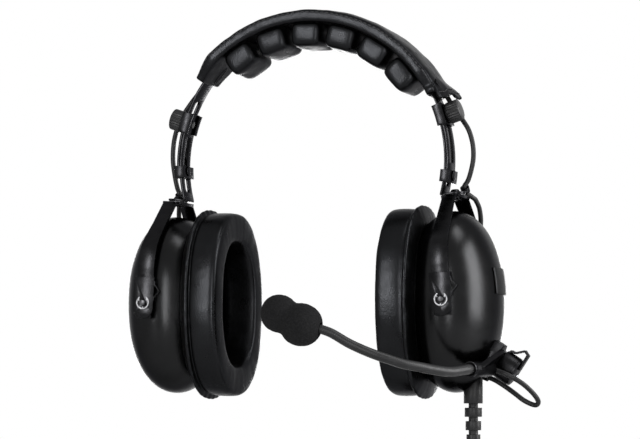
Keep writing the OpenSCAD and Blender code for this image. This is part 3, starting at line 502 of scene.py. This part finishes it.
# %% Microphone lead
mic_points = [
    (108.8, -13, -38.5), (109.8, -11.5, -38.7), (113.5, -11, -40), (119.7, -10.8, -42.6),
    (126.5, -7, -47.2), (131.5, -2, -53), (133, 2, -57.2), (130.5, 4, -59), (124, 5.5, -56.5),
    (117.5, 7, -52), (111.5, 8, -48), (106, 8.8, -44.8), (102.5, 9, -43.4)]
mic_line = smooth_line(mic_points, 5)
mic_cable = cable("microphone_lead", mic_line, LEAD_D)
settle(mic_cable, None, cable_jacket, "cable_jacket", "mic_lead")
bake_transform(mic_cable)
print("microphone lead", round(line_length(mic_line), 4), "m")

# %% [markdown]
# ## Hardware
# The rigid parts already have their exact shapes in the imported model. Real sheet metal and moulded
# plastic have slightly broken edges that catch the light, so each part is copied, its loose
# triangles are joined into faces, and a narrow bevel is run along its sharp edges.

# %% Broken edges on the rigid parts
def with_broken_edges(node, material, slot, width, segments=2, angle=32):
    """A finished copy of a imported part: a bevel of some width, in metres, on its sharp edges."""
    body = nodes[node]["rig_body"]
    clear_selection()
    mesh = nodes[node].data.copy()
    mesh.name = node + "_finished"
    piece = bpy.data.objects.new(node + "_finished", mesh)
    scene.collection.objects.link(piece)
    make_active(piece)
    bpy.ops.object.mode_set(mode="EDIT")
    bpy.ops.mesh.select_all(action="SELECT")
    bpy.ops.mesh.customdata_custom_splitnormals_clear()
    bpy.ops.mesh.remove_doubles(threshold=0.000004)
    bpy.ops.mesh.dissolve_limited(angle_limit=radians(0.7))
    leave_edit_mode()
    break_edges(piece, width, segments, angle)
    apply_all(piece, 38)
    return settle(piece, body, material, slot, node)


def taper_stirrup(stirrup):
    """Makes the strips of a stirrup 30% narrower where they bend in to the swivel."""
    for vertex in stirrup.data.vertices:
        place = vertex.co
        above = min(1, max(0, (place.z - 0.03) / 0.026))
        off_middle = min(1, max(0, (abs(place.y) - 0.009) / 0.008))
        middle = math.copysign(PIN_X - place.z * math.tan(LEAN), place.x)
        place.x = middle + (place.x - middle) * (1 - 0.3 * above * off_middle)


hardware = {}
for node in ("headband_spring", "band_keepers"):
    hardware[node] = with_broken_edges(node, black_steel, "black_steel", 0.00022)
hardware["guide_rivets"] = with_broken_edges("guide_rivets", black_steel, "black_steel", 0.0003, 3)
for side in ("left", "right"):
    for part, width in (("slide_arm", 0.0002), ("slide_keeper", 0.0003), ("swivel_rivet", 0.00035),
                        ("stirrup", 0.0004), ("hangers", 0.00022), ("hanger_springs", 0.00012),
                        ("cable_clip", 0.0002)):
        node = side + "_" + part
        hardware[node] = with_broken_edges(node, black_steel, "black_steel", width)
    taper_stirrup(hardware[side + "_stirrup"])
    for part, width in (("swivel_washer", 0.00015), ("pivot_pins", 0.0002)):
        node = side + "_" + part
        hardware[node] = with_broken_edges(node, worn_steel, "bright_steel", width)
    node = side + "_thumbscrew"
    hardware[node] = with_broken_edges(node, knob_plastic, "knob_plastic", 0.00016, angle=28)
    for part in ("seal_plate", "receiver"):
        node = side + "_" + part
        hardware[node] = with_broken_edges(node, hub_plastic, "dome_plastic", 0.0003)
print(len(hardware), "finished rigid parts")

# %% Hub, boom bracket and plug
for node, material, slot, width in (
        ("boom_hub", hub_plastic, "hub_plastic", 0.0005),
        ("hub_cap", hub_plastic, "hub_plastic", 0.0004),
        ("hub_screws", bright_steel, "bright_steel", 0.0002),
        ("hub_strap", hub_plastic, "hub_plastic", 0.00025),
        ("boom_bracket", hub_plastic, "hub_plastic", 0.0004),
        ("boom_collar", black_steel, "bright_steel", 0.0002),
        ("mic_capsule", hub_plastic, "hub_plastic", 0.0004),
        ("badge_plate", badge_metal, "badge_metal", 0.0002),
        ("strain_relief", cable_jacket, "cable_jacket", 0.0003),
        ("cord_tie", cable_jacket, "cable_jacket", 0.0004),
        ("plug_body", plug_plastic, "plug_plastic", 0.0012),
        ("plug_pin", plug_brass, "plug_brass", 0.0005)):
    hardware[node] = with_broken_edges(node, material, slot, width)
print(len(hardware), "finished rigid parts in all")

# %% [markdown]
# An E-clip snaps into a groove in each tilt pin. It is a spring ring, open at the top, with three
# teeth that reach in to the pin. A circle is extruded inwards to a flat ring, the points of its
# inner edge are set in or out to make the teeth, the opening is cut, and the rest gets a wall.

# %% E-clips
def e_clip(name, side, front):
    """A clip on the pin of one side, 1 or -1, at the front, -1, or at the back, 1."""
    outer, ring_reach, tooth_reach = 0.004, 0.0031, 0.0022
    teeth, tooth_half, opening = (270, 35, 145), 10, (62, 118)
    clear_selection()
    bpy.ops.mesh.primitive_circle_add(vertices=72, radius=outer)
    clip = just_made(name)
    bpy.ops.object.mode_set(mode="EDIT")
    bpy.ops.mesh.extrude_region_move(TRANSFORM_OT_translate={"value": (0, 0, 0)})
    bpy.ops.transform.resize(value=(0.7, 0.7, 1), center_override=(0, 0, 0))
    leave_edit_mode()
    for vertex in clip.data.vertices:
        if vertex.co.length < 0.9 * outer:
            turned = math.degrees(math.atan2(vertex.co.y, vertex.co.x)) % 360
            off_tooth = min(abs(turned - tooth) for tooth in teeth)
            reach = tooth_reach if off_tooth < tooth_half else ring_reach
            vertex.co = vertex.co.normalized() * reach
    for face in clip.data.polygons:
        turned = math.degrees(math.atan2(face.center.y, face.center.x)) % 360
        face.select = opening[0] < turned < opening[1]
    bpy.ops.object.mode_set(mode="EDIT")
    bpy.ops.mesh.select_mode(type="FACE")
    bpy.ops.mesh.delete(type="FACE")
    bpy.ops.mesh.select_mode(type="VERT")
    bpy.ops.object.mode_set(mode="OBJECT")
    give_wall(clip, 0.0007, 0)
    break_edges(clip, 0.00015)
    clip.data.transform(Matrix.Translation((side * PIN_X, front * 0.046, 0))
                        @ Matrix.Rotation(pi / 2, 4, "X"))
    apply_all(clip, 40)
    return clip


for side, flip in SIDES:
    for where, front in (("front", -1), ("back", 1)):
        clip = e_clip(side + "_e_clip_" + where, flip, front)
        settle(clip, side + "_dome", clip_steel, "bright_steel", side + "_e_clips")
print("E-clips made")

# %% [markdown]
# ## Ear cups
# A dome is a moulded shell. Seen from the side it is a rounded oval, a little squarer than an
# ellipse, and it bulges out from the seam to its widest ring and closes over the ear. A circle is
# set to that oval, extruded ring by ring and scaled at each step, as a lathe would turn it, and a
# Solidify modifier gives the wall its thickness.

# %% Ovals stacked along X
def squared(value, power):
    return math.copysign(abs(value) ** (2 / power), value)


def oval_point(angle, half_y, half_z, power=2.35):
    return half_y * squared(cos(angle), power), half_z * squared(sin(angle), power)


def stack_ovals(name, stations, sides=96, power=2.35, ends="open"):
    """Stations are (x, half width, half height) in metres; ends are open, bridged or closed."""
    clear_selection()
    bpy.ops.mesh.primitive_circle_add(vertices=sides, radius=1)
    piece = just_made(name)
    x, half_y, half_z = stations[0]
    for k, vertex in enumerate(piece.data.vertices):
        y, z = oval_point(2 * pi * k / sides, half_y, half_z, power)
        vertex.co = (x, y, z)
    bpy.ops.object.mode_set(mode="EDIT")
    bpy.ops.mesh.select_all(action="SELECT")
    for before, after in zip(stations, stations[1:]):
        bpy.ops.mesh.extrude_region_move(
            TRANSFORM_OT_translate={"value": (after[0] - before[0], 0, 0)})
        bpy.ops.transform.resize(value=(1, after[1] / before[1], after[2] / before[2]),
                                 center_override=(after[0], 0, 0))
    if ends == "closed":
        bpy.ops.mesh.merge(type="CENTER")
        bpy.ops.mesh.select_all(action="DESELECT")
        bpy.ops.mesh.select_non_manifold(extend=False)
        if stations[0][1] < 0.002:
            bpy.ops.mesh.merge(type="CENTER")
    elif ends == "bridged":
        bpy.ops.mesh.select_all(action="DESELECT")
        bpy.ops.mesh.select_non_manifold(extend=False)
        bpy.ops.mesh.bridge_edge_loops()
    bpy.ops.mesh.select_all(action="SELECT")
    bpy.ops.mesh.normals_make_consistent(inside=False)
    leave_edit_mode()
    return piece


def peg(start, end, radius, bevel):
    """A short round boss from one point to another, with broken edges."""
    clear_selection()
    axis = end - start
    bpy.ops.mesh.primitive_cylinder_add(vertices=40, radius=radius, depth=axis.length,
                                        location=(start + end) / 2,
                                        rotation=axis.to_track_quat("Z", "Y").to_euler())
    piece = just_made("boss")
    break_edges(piece, bevel, 3, 40)
    apply_all(piece, 35)
    return piece


def join(pieces):
    make_active(pieces[0])
    for other in pieces[1:]:
        other.select_set(True)
    bpy.ops.object.join()
    clear_selection()
    return pieces[0]


def push(piece, amount):
    """Moves each vertex along its normal by amount(place), in metres."""
    mesh = piece.data
    normals = [v.normal.copy() for v in mesh.vertices]
    for vertex, normal in zip(mesh.vertices, normals):
        vertex.co += normal * amount(vertex.co)
    mesh.update()


print("oval and boss helpers ready")

# %% Dome shells
rim_x, rim_y, rim_z = 0.071, 0.034, 0.045
widest_x, widest_y, widest_z = 0.0853, 0.0403, 0.052
crown_depth = 0.027
dome = [(0.0711, 0.0331, 0.0441)]
for k in range(9):
    t, s = k / 8, sin(pi / 2 * k / 8)
    dome.append((rim_x + (widest_x - rim_x) * t, rim_y + (widest_y - rim_y) * s,
                 rim_z + (widest_z - rim_z) * s))
for k in range(1, 25):
    t = radians(89.2) * k / 24
    dome.append((widest_x + crown_depth * sin(t), widest_y * cos(t), widest_z * cos(t)))

entry_r = 0.00245
pin_boss_r, pin_boss_from, pin_boss_to = 0.0035, 0.0379, 0.0424
for side, flip in SIDES:
    shell = stack_ovals(side + "_dome", dome, 112, ends="closed")
    give_wall(shell, 0.0022, -1)
    apply_all(shell, 45)
    bosses = [peg(Vector((PIN_X, y * pin_boss_from, 0)), Vector((PIN_X, y * pin_boss_to, 0)),
                  pin_boss_r, 0.0004) for y in (-1, 1)]
    end, stop = from_swivel((7, 25.2, 42.2)), from_swivel((6.9, 25.2, 37.5))
    bosses.append(peg(stop, end, entry_r, 0.0005))
    if side == "left":
        bosses.append(peg(Vector((0.0985, 0.009, -0.0418)), Vector((0.1025, 0.009, -0.0434)),
                          entry_r, 0.0005))
    shell = join([shell] + bosses)
    if flip < 0:
        turn_over(shell)
    shell.name = side + "_dome"
    settle(shell, side + "_dome", dome_plastic, "dome_plastic", side + "_dome_shell")
    print(shell.name, len(shell.data.vertices), "vertices")

# %% [markdown]
# ### Ear seals
# A seal is a foam ring in thin vinyl, welded to a flange at the back. The vinyl can't follow the
# oval without spare material, so it puckers along the flange and creases across the ring. The ring
# is turned from the same ovals, smoothed by a subdivision surface and then creased by moving its
# points in and out. The boom side's seal is pressed a little thinner than the other.

# %% Ear seals
def pucker(place, centre_x, seed):
    """How far the vinyl stands proud at a place, in metres."""
    around = math.atan2(place.z / 1.28, place.y)
    q = Vector((place.x * 60 + seed, around * 2.1, seed * 1.7))
    broad = noise.noise(place * 60 + Vector((seed, 0, 0))) * 0.0003
    fold = noise.noise(Vector((place.x * 35, around * 9, seed))) * 0.00007
    small = noise.noise(place * 330 + Vector((0, seed, 0))) * 0.00002
    near_flange = max(0.0, 1 - abs(abs(place.x) - centre_x) / 0.0022)
    ripple = sin(around * 40 + 5 * noise.noise(q)) * 0.00013 * near_flange
    return broad + fold + small + ripple


seal_section = [
    (66.0, 24.0, 37.0), (66.0, 32.7, 43.7), (68.4, 32.8, 43.8), (70.7, 33.4, 44.4),
    (70.7, 34.6, 45.6), (69.6, 37.2, 48.6), (67.6, 40.3, 52.1), (66.4, 42.1, 54.4),
    (65.9, 43.0, 55.4), (65.1, 43.3, 55.7), (64.3, 43.0, 55.3), (63.9, 41.9, 54.0),
    (63.5, 40.9, 52.6), (62.9, 41.2, 52.9), (61.4, 41.9, 53.5), (57.0, 42.3, 53.8),
    (52.4, 42.3, 53.8), (49.8, 42.1, 53.6), (48.1, 41.3, 52.8), (47.2, 39.6, 51.1),
    (46.9, 36.6, 47.6), (46.9, 32.6, 43.0), (47.0, 29.6, 39.6), (47.5, 27.9, 37.7),
    (48.8, 27.0, 36.7), (51.5, 26.4, 36.2), (58.0, 25.6, 35.9), (62.0, 25.0, 36.2)]
back_x, flange_x = 70.7, 64.8
for side, flip, seed, pressed in (("left", 1, 3.1, 1.6), ("right", -1, 8.4, -0.7)):
    section = [((x + pressed * min(1, max(0, (back_x - x) / 4.7))) * MM, y * MM, z * MM)
               for x, y, z in seal_section]
    seal = stack_ovals(side + "_seal", section, 120, ends="bridged")
    subdivide(seal, 2)
    apply_all(seal, 0)
    push(seal, lambda place: pucker(place, (flange_x + pressed) * MM, seed))
    smooth_all_over(seal)
    if flip < 0:
        turn_over(seal)
    settle(seal, side + "_dome", padded_vinyl, "padded_vinyl", side + "_ear_seal")
    print(seal.name, len(seal.data.vertices), "vertices")

# %% Foam liners
liner_section = [
    (77.2, 0.4, 0.6), (77.2, 14, 20), (77.2, 26, 36), (76.4, 29.2, 40.2), (74.2, 29.8, 40.8),
    (72.2, 29.2, 40.2), (71.5, 27, 37.5), (72.3, 21, 29), (72.8, 12, 18), (72.9, 0.4, 0.6)]
for side, flip in SIDES:
    liner = stack_ovals(side + "_liner", [(x * MM, y * MM, z * MM) for x, y, z in liner_section],
                        72, ends="closed")
    subdivide(liner, 1)
    apply_all(liner, 60)
    push(liner, lambda place: noise.noise(place * 160) * 0.0004)
    if flip < 0:
        turn_over(liner)
    settle(liner, side + "_dome", open_foam, "open_foam", side + "_foam_liner")
print("foam liners made")

# %% [markdown]
# ## Headband cover
# The cover is a padded sleeve over the spring band. Its outline across the band is drawn once,
# with a flat hem on each edge, and spun round the arc's centre. Towards both ends it narrows and
# thins out. The boom side thins far less than the other, and its very tip is a little wider. The
# vinyl of the top ripples a little.

# %% Cover
cover_from, cover_sweep = 25.5, 118.5
cover_inside = 0.0835
end_reach, tip_reach = 11.0, 3.4
outline = [
    (80.9, -15.5), (81.1, -17.3), (82.2, -18.2), (84.2, -18.45), (86.2, -18.4), (87.5, -18.0),
    (87.9, -17.4), (88.2, -16.4), (88.7, -14.0), (89.0, -10.0), (89.15, -5.0), (89.2, 0.0),
    (89.15, 5.0), (89.0, 10.0), (88.7, 14.0), (88.2, 16.4), (87.9, 17.4), (87.5, 18.0),
    (86.2, 18.4), (84.2, 18.45), (82.2, 18.2), (81.1, 17.3), (80.9, 15.5), (80.8, 8.0),
    (80.8, 0.0), (80.8, -8.0)]
clear_selection()
bpy.ops.mesh.primitive_circle_add(vertices=len(outline), radius=1)
cover = just_made("cover")
for vertex, (r, y) in zip(cover.data.vertices, outline):
    vertex.co = arc_point(cover_from, r * MM, y * MM)
bpy.ops.object.mode_set(mode="EDIT")
bpy.ops.mesh.select_all(action="SELECT")
bpy.ops.mesh.edge_face_add()
bpy.ops.mesh.select_all(action="SELECT")
bpy.ops.mesh.spin(steps=90, angle=radians(cover_sweep), center=(0, 0, BAND_CENTRE),
                  axis=(0, 1, 0))
bpy.ops.mesh.select_all(action="SELECT")
bpy.ops.mesh.remove_doubles(threshold=0.00002)
bpy.ops.mesh.select_all(action="DESELECT")
bpy.ops.mesh.select_non_manifold(extend=False)
bpy.ops.mesh.edge_face_add()
bpy.ops.mesh.select_all(action="SELECT")
bpy.ops.mesh.normals_make_consistent(inside=False)
leave_edit_mode()


def shape_cover(place):
    """Where a place of the plain cover goes: it thins and narrows at its ends and ripples."""
    radius = math.hypot(place.x, place.z - BAND_CENTRE)
    angle = math.degrees(math.atan2(place.z - BAND_CENTRE, place.x))
    on_boom_side = angle < 60
    to_end = min(angle - cover_from, cover_from + cover_sweep - angle)
    end = min(1.0, max(0.0, 1 - to_end / end_reach))
    end = end * end * (3 - 2 * end)
    over = radius - cover_inside
    if over > 0:
        ripple = noise.noise(Vector((angle * 0.16, place.y * 60, 2.0))) * 0.00045
        thinned = 0.12 if on_boom_side else 0.5
        radius = cover_inside + over * (1 - thinned * end) + ripple * min(1.0, over / 0.004)
    width = 1 - 0.2 * end
    if on_boom_side and to_end < tip_reach:
        width += 0.12 * sin(to_end / tip_reach * pi)
    return arc_point(angle, radius, place.y * width)


for vertex in cover.data.vertices:
    vertex.co = shape_cover(vertex.co)
subdivide(cover, 2)
apply_all(cover, 50)
push(cover, lambda place: noise.noise(place * 240) * 0.00012)
settle(cover, "headband", padded_vinyl, "padded_vinyl", "headband_cover")
print("cover", len(cover.data.vertices), "vertices")

# %% [markdown]
# The hems are sewn with a row of stitches on each edge. A stitch is a small sphere that is drawn
# out along its row, and the tab at the end of the cover has a row of its own.

# %% Stitches
def stitch_row(name, places, radius, length):
    """Places are pairs of a stitch's middle and its direction; its length is in radii."""
    made = []
    for place, ahead in places:
        clear_selection()
        bpy.ops.mesh.primitive_uv_sphere_add(segments=8, ring_count=6, radius=radius,
                                             location=place, scale=(1, 1, length),
                                             rotation=ahead.to_track_quat("Z", "Y").to_euler())
        made.append(just_made(name))
    row = join(made)
    row.name = name
    apply_all(row, 60)
    return settle(row, "headband", thread, "padded_vinyl")


hem_r, hem_y = 0.0866, 0.01842
stitches_from, stitch_step, stitch_count = 27, 2.0, 58
for name, y in (("front_stitches", -hem_y), ("back_stitches", hem_y)):
    places = []
    for k in range(stitch_count):
        angle = stitches_from + stitch_step * k
        place = shape_cover(arc_point(angle, hem_r, y))
        places.append((place, shape_cover(arc_point(angle + 0.3, hem_r, y)) - place))
    row = stitch_row(name, places, 0.00034, 3.4)
    print(name, len(row.data.vertices), "vertices")

# %% [markdown]
# ### End tab and eyelets
# On the boom side the top layer of the cover ends in a stiff tab that flares out over the
# adjuster. Its edge is cut in scallops and sewn, and hangs lower at the corners. A grid is bent to
# that shape, and a Solidify modifier gives it its thickness. Two oval eyelets are set into the
# cover, each a torus round a disc, drawn out along the band.

# %% End tab
tab_from, tab_reach, tab_r, tab_half = 38.0, 13.3, 89.1, 17.4


def tab_point(along, across):
    """A point of the tab: along from 0, on the cover, to 1, its edge, and across from -1 to 1."""
    flare = max(0.0, along - 0.35) / 0.65
    flare = flare * flare * (3 - 2 * flare)
    scallop = 0.35 * abs(sin(across * 4 * pi)) * max(0.0, along - 0.8) / 0.2
    low = min(1.0, max(0.0, (abs(across) - 0.22) / 0.3))
    angle = tab_from - (tab_reach + (1.5 - 0.4 * across) * low) * along - scallop
    neck = 1 - 0.12 * sin(pi * min(1.0, along / 0.9)) ** 2
    radius = tab_r - (1.2 - 0.3 * across) * across * across + (2.6 + 1.6 * across) * flare
    return arc_point(angle, radius * MM, across * tab_half * neck * MM)


clear_selection()
bpy.ops.mesh.primitive_grid_add(x_subdivisions=30, y_subdivisions=48, size=2)
end_tab = just_made("end_tab")
for vertex in end_tab.data.vertices:
    vertex.co = tab_point((vertex.co.x + 1) / 2, vertex.co.y)
if end_tab.data.polygons[0].normal.dot(arc_outward(tab_from)) < 0:
    end_tab.data.flip_normals()
give_wall(end_tab, 0.0018, -1)
break_edges(end_tab, 0.0005)
apply_all(end_tab, 45)
push(end_tab, lambda place: noise.noise(place * 120) * 0.0002)
settle(end_tab, "headband", padded_vinyl, "padded_vinyl")
print("end tab", len(end_tab.data.vertices), "vertices")

# %% Stitches of the tab
places, sewn_at = [], 0.86
for k in range(17):
    across = -0.94 + 0.1175 * k
    place = tab_point(sewn_at, across)
    places.append((place + 0.0002 * arc_outward(25), tab_point(sewn_at, across + 0.02) - place))
tab_stitches = stitch_row("tab_stitches", places, 0.0003, 2.6)
print("tab stitches", len(tab_stitches.data.vertices), "vertices")

# %% Eyelets
def eyelet(name, place, outward, along, half_long, half_wide):
    """An oval eyelet at a place of the cover that faces outward, with its length along the band."""
    clear_selection()
    bpy.ops.mesh.primitive_torus_add(major_segments=56, minor_segments=12, major_radius=1.0,
                                     minor_radius=0.12)
    ring = just_made(name)
    bpy.ops.mesh.primitive_cylinder_add(vertices=56, radius=1.0, depth=0.12)
    ring = join([ring, just_made(name + "_hole")])
    across = outward.cross(along)
    for vertex in ring.data.vertices:
        x, y, z = vertex.co
        rim = math.hypot(x, y)
        x, y = (x, y) if rim < 1e-6 else (x / rim, y / rim)
        wide = (rim - 1) * 0.004
        inner = min(rim, 1.0)
        vertex.co = (place + along * (x * (half_long * inner + wide * (rim > 1)))
                     + across * (y * (half_wide * inner + wide * (rim > 1)))
                     + outward * z * 0.0035)
    apply_all(ring, 50)
    return settle(ring, "headband", hub_plastic, "padded_vinyl")


for name, angle, radius, y, sense, half_long, half_wide in (
        ("inner_eyelet", 138.2, 0.08085, 0.004, -1, 0.0058, 0.0021),
        ("top_eyelet", 29.0, 0.0892, -0.0112, 1, 0.0022, 0.0011)):
    along = (arc_point(angle + 0.5, 1.0) - arc_point(angle - 0.5, 1.0)).normalized()
    eyelet(name, arc_point(angle, radius, y), arc_outward(angle) * sense, along,
           half_long, half_wide)
print("eyelets set")

# %% [markdown]
# ### Head pads
# Six foam blocks in vinyl hang under the cover. Each has full, rounded edges and a nearly flat
# crown that rests on the head. Each is stacked from the same squarish ovals and has creases of its
# own.

# %% Head pads
pad_shape = [
    (-0.3, 0.4, 0.4), (-0.3, 7.6, 15.2), (0.5, 8.5, 16.2), (2.2, 9.1, 16.8), (5.5, 9.25, 17.0),
    (8.8, 9.1, 16.85), (11.2, 8.7, 16.4), (12.7, 7.8, 15.5), (13.4, 6.2, 13.8), (13.7, 3.4, 9.0),
    (13.8, 0.4, 1.0)]
pad_stretch = 1.05
pad_section = [(d * MM, w * MM, h * pad_stretch * MM) for d, h, w in pad_shape]
pad_count, pad_step, pads_middle, pads_r = 6, 16.55, 82.2, 0.0806


def crease(place, seed):
    """How far the vinyl of a pad stands proud at a place, in metres."""
    p = place + Vector((seed, 0, 0))
    side_fold = noise.noise(Vector((place.x * 260, place.y * 70, seed + place.z * 70)))
    return noise.noise(p * 90) * 0.0004 + side_fold * 0.00008 + noise.noise(p * 400) * 0.00002


for k in range(pad_count):
    angle = pads_middle + (k - (pad_count - 1) / 2) * pad_step
    pad = stack_ovals("pad_" + str(k + 1), pad_section, 64, 5.6, ends="closed")
    subdivide(pad, 1)
    apply_all(pad, 0)
    push(pad, lambda place: crease(place, k * 5.3))
    a = radians(angle)
    to_arc = Matrix(((-cos(a), 0, sin(a)), (0, 1, 0), (-sin(a), 0, -cos(a)))).to_4x4()
    pad.data.transform(Matrix.Translation(arc_point(angle, pads_r)) @ to_arc)
    smooth_all_over(pad)
    settle(pad, "headband", padded_vinyl, "padded_vinyl", "headband_pads")
print(pad_count, "pads of", len(pad.data.vertices), "vertices")

# %% [markdown]
# ## Boom
# The boom is a gooseneck: a steel spring in a tight sleeve, so that fine windings show along its
# bends. The tube's radius rises and falls with each winding.

# %% Gooseneck
def even_line(line, step):
    """The same line with its points a step apart."""
    made, left = [line[0]], step
    for a, b in zip(line, line[1:]):
        length, done = (b - a).length, 0.0
        while done + left <= length:
            done += left
            made.append(a.lerp(b, done / length))
            left = step
        left -= length - done
    return made


boom_points = [
    (107.5, -18.7, -38.6), (104.9, -30, -38.9), (103.8, -35, -39), (102.6, -40, -39.2),
    (99.5, -46.5, -40), (96, -53, -40.5), (90, -63, -39.5), (84, -71, -38), (77.5, -78, -36.5),
    (70.5, -83.5, -34), (61.5, -89, -30.5), (51, -93, -25.5), (41, -96, -19.5),
    (32.5, -97.5, -16.7)]
boom_d, ring_step, rings_per_winding = 0.006, 0.0003, 4
boom_line = even_line(smooth_line(boom_points, 16), ring_step)


def winding(k):
    """The share of its full radius that the tube has at a ring: thinner at the tip, and ribbed."""
    share = k / (len(boom_line) - 1)
    return 1 - 0.15 * share + 0.012 * cos(2 * pi * k / rings_per_winding)


boom_piece = cable("gooseneck_tube", boom_line, boom_d, 5, winding)
settle(boom_piece, "boom", gooseneck, "gooseneck", "boom_tube")
print("gooseneck", round(line_length(boom_line), 3), "m,", len(boom_line), "rings")

# %% [markdown]
# ### Windscreen
# The foam windscreen has two lobes with a waist, and a round mouth at the back where the boom
# goes in. A sphere is stretched along its axis and each ring is set to the lobes' outline, and the
# mouth is pressed in by extruding the faces round the boom.

# %% Windscreen
screen_pos = Vector((24.9, -98, -15.1)) * MM
screen_dir = Vector((-0.89, -0.07, 0.45)).normalized()
boom_in = (boom_line[-1] - screen_pos).normalized()
big_lobe, small_lobe, apart = 11.8, 10.5, 13.6
screen_middle = (apart + small_lobe - big_lobe) / 2
screen_half = (apart + small_lobe + big_lobe) / 2
mouth_r, mouth_step = 0.0036, 0.0022
sphere_r = 0.01


def lobe_radius(s):
    """Radius of the foam at a distance along its axis, both in millimetres."""
    lobes = [max(0.0, big_lobe ** 2 - s ** 2) ** 0.5,
             max(0.0, small_lobe ** 2 - (s - apart) ** 2) ** 0.5]
    return max((lobes[0] ** 9 + lobes[1] ** 9) ** (1 / 9), 0.01)


clear_selection()
bpy.ops.mesh.primitive_uv_sphere_add(segments=96, ring_count=72, radius=sphere_r)
screen = just_made("windscreen")
for vertex in screen.data.vertices:
    t = math.acos(max(-1, min(1, vertex.co.z / sphere_r))) / pi
    flat = Vector((vertex.co.x, vertex.co.y, 0))
    s = screen_middle + cos(pi * t) * screen_half
    flat = flat.normalized() * lobe_radius(s) * MM if flat.length > 1e-6 else flat
    vertex.co = Vector((flat.x, flat.y, s * MM))
screen.data.transform(Matrix.Translation(screen_pos)
                      @ screen_dir.to_track_quat("Z", "Y").to_matrix().to_4x4())
make_active(screen)
bpy.ops.object.mode_set(mode="EDIT")
leave_edit_mode()
for face in screen.data.polygons:
    offset = face.center - screen_pos
    along = offset.dot(boom_in)
    face.select = along > 0 and (offset - along * boom_in).length < mouth_r
bpy.ops.object.mode_set(mode="EDIT")
for _ in range(2):
    bpy.ops.mesh.extrude_region_move(
        TRANSFORM_OT_translate={"value": tuple(-mouth_step * boom_in)})
leave_edit_mode()
subdivide(screen, 1)
apply_all(screen, 0)
push(screen, lambda place: (noise.noise(place * 700) * 0.00016
                            + noise.noise(place * 90) * 0.0003))
smooth_all_over(screen)
settle(screen, "boom", open_foam, "open_foam", "mic_windscreen")
print("windscreen", len(screen.data.vertices), "vertices")

# %% [markdown]
# ## Floor and light
# The headset is lit as in a small studio. A large soft lamp stands beside the boom's cup and gives
# its dome a broad highlight, and two narrow upright lamps in front draw the thin ones on the other
# dome and on the seals. A small lamp above and a low one behind keep the cover and the back from
# going flat. The background is white to the camera and in reflections, so that dark gloss has
# something to mirror, and the floor under the plug keeps the shadow.

# %% Floor
clear_selection()
bpy.ops.mesh.primitive_plane_add(size=2.4, location=(0.05, 0.1, -0.2445))
floor = just_made("floor")
floor.data.materials.append(plain_finish(
    "floor_paint", (0.8, 0.8, 0.8), (0.84, 0.84, 0.84), (0.6, 0.7), specular=0.3, blotch=3))
print("floor at", round(floor.location.z, 4), "m")

# %% Surround
world = bpy.data.worlds.new("surround")
scene.world = world
world.use_nodes = True
tree = world.node_tree
background = tree.nodes["Background"]
rays = tree.nodes.new("ShaderNodeLightPath")
sees_white = rays.outputs["Is Camera Ray"]
for kind in ("Is Transmission Ray", "Is Glossy Ray"):
    either = tree.nodes.new("ShaderNodeMath")
    either.operation = "MAXIMUM"
    link(tree, sees_white, either.inputs[0])
    link(tree, rays.outputs[kind], either.inputs[1])
    sees_white = either.outputs["Value"]
level = tree.nodes.new("ShaderNodeMapRange")
level.inputs["To Min"].default_value = 0.3
level.inputs["To Max"].default_value = 1.0
link(tree, sees_white, level.inputs["Value"])
background.inputs["Color"].default_value = (1, 1, 1, 1)
link(tree, level.outputs["Result"], background.inputs["Strength"])
scene.view_settings.view_transform = "Standard"
print("surround", world.name)

# %% Lamps
def soft_lamp(name, place, target, size, power):
    """A rectangular lamp at a place, turned to a target; its size in metres, its power in watts."""
    lamp = bpy.data.lights.new(name, "AREA")
    lamp.shape = "RECTANGLE"
    lamp.size, lamp.size_y = size
    lamp.energy = power
    lamp_object = bpy.data.objects.new(name, lamp)
    scene.collection.objects.link(lamp_object)
    lamp_object.location = place
    aim = Vector(target) - Vector(place)
    lamp_object.rotation_euler = aim.to_track_quat("-Z", "Y").to_euler()


soft_lamp("right_lamp", (2.08, 0.3, 0.6), (0.09, 0, 0), (1.05, 1.6), 76)
soft_lamp("front_lamp", (1.0, -1.97, 0.2), (-0.07, 0, 0), (0.26, 1.1), 21)
soft_lamp("left_lamp", (-0.62, -2.06, 0.44), (0.05, 0, 0), (0.3, 1.0), 33)
soft_lamp("top_lamp", (1.0, 0.0, 1.7), (0, 0, 0.15), (0.7, 0.7), 14)
soft_lamp("back_lamp", (-0.7, 2.3, 0.05), (0, 0, 0.05), (1.4, 0.5), 14)
print("lamps", len(bpy.data.lights))

# %% [markdown]
# ## Last update
# The view layer is brought up to date once more.

for side in ("left", "right"):
    upper, middle, low, upper_line = crossover[side]

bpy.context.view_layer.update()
for k, axis in enumerate("XYZ"):
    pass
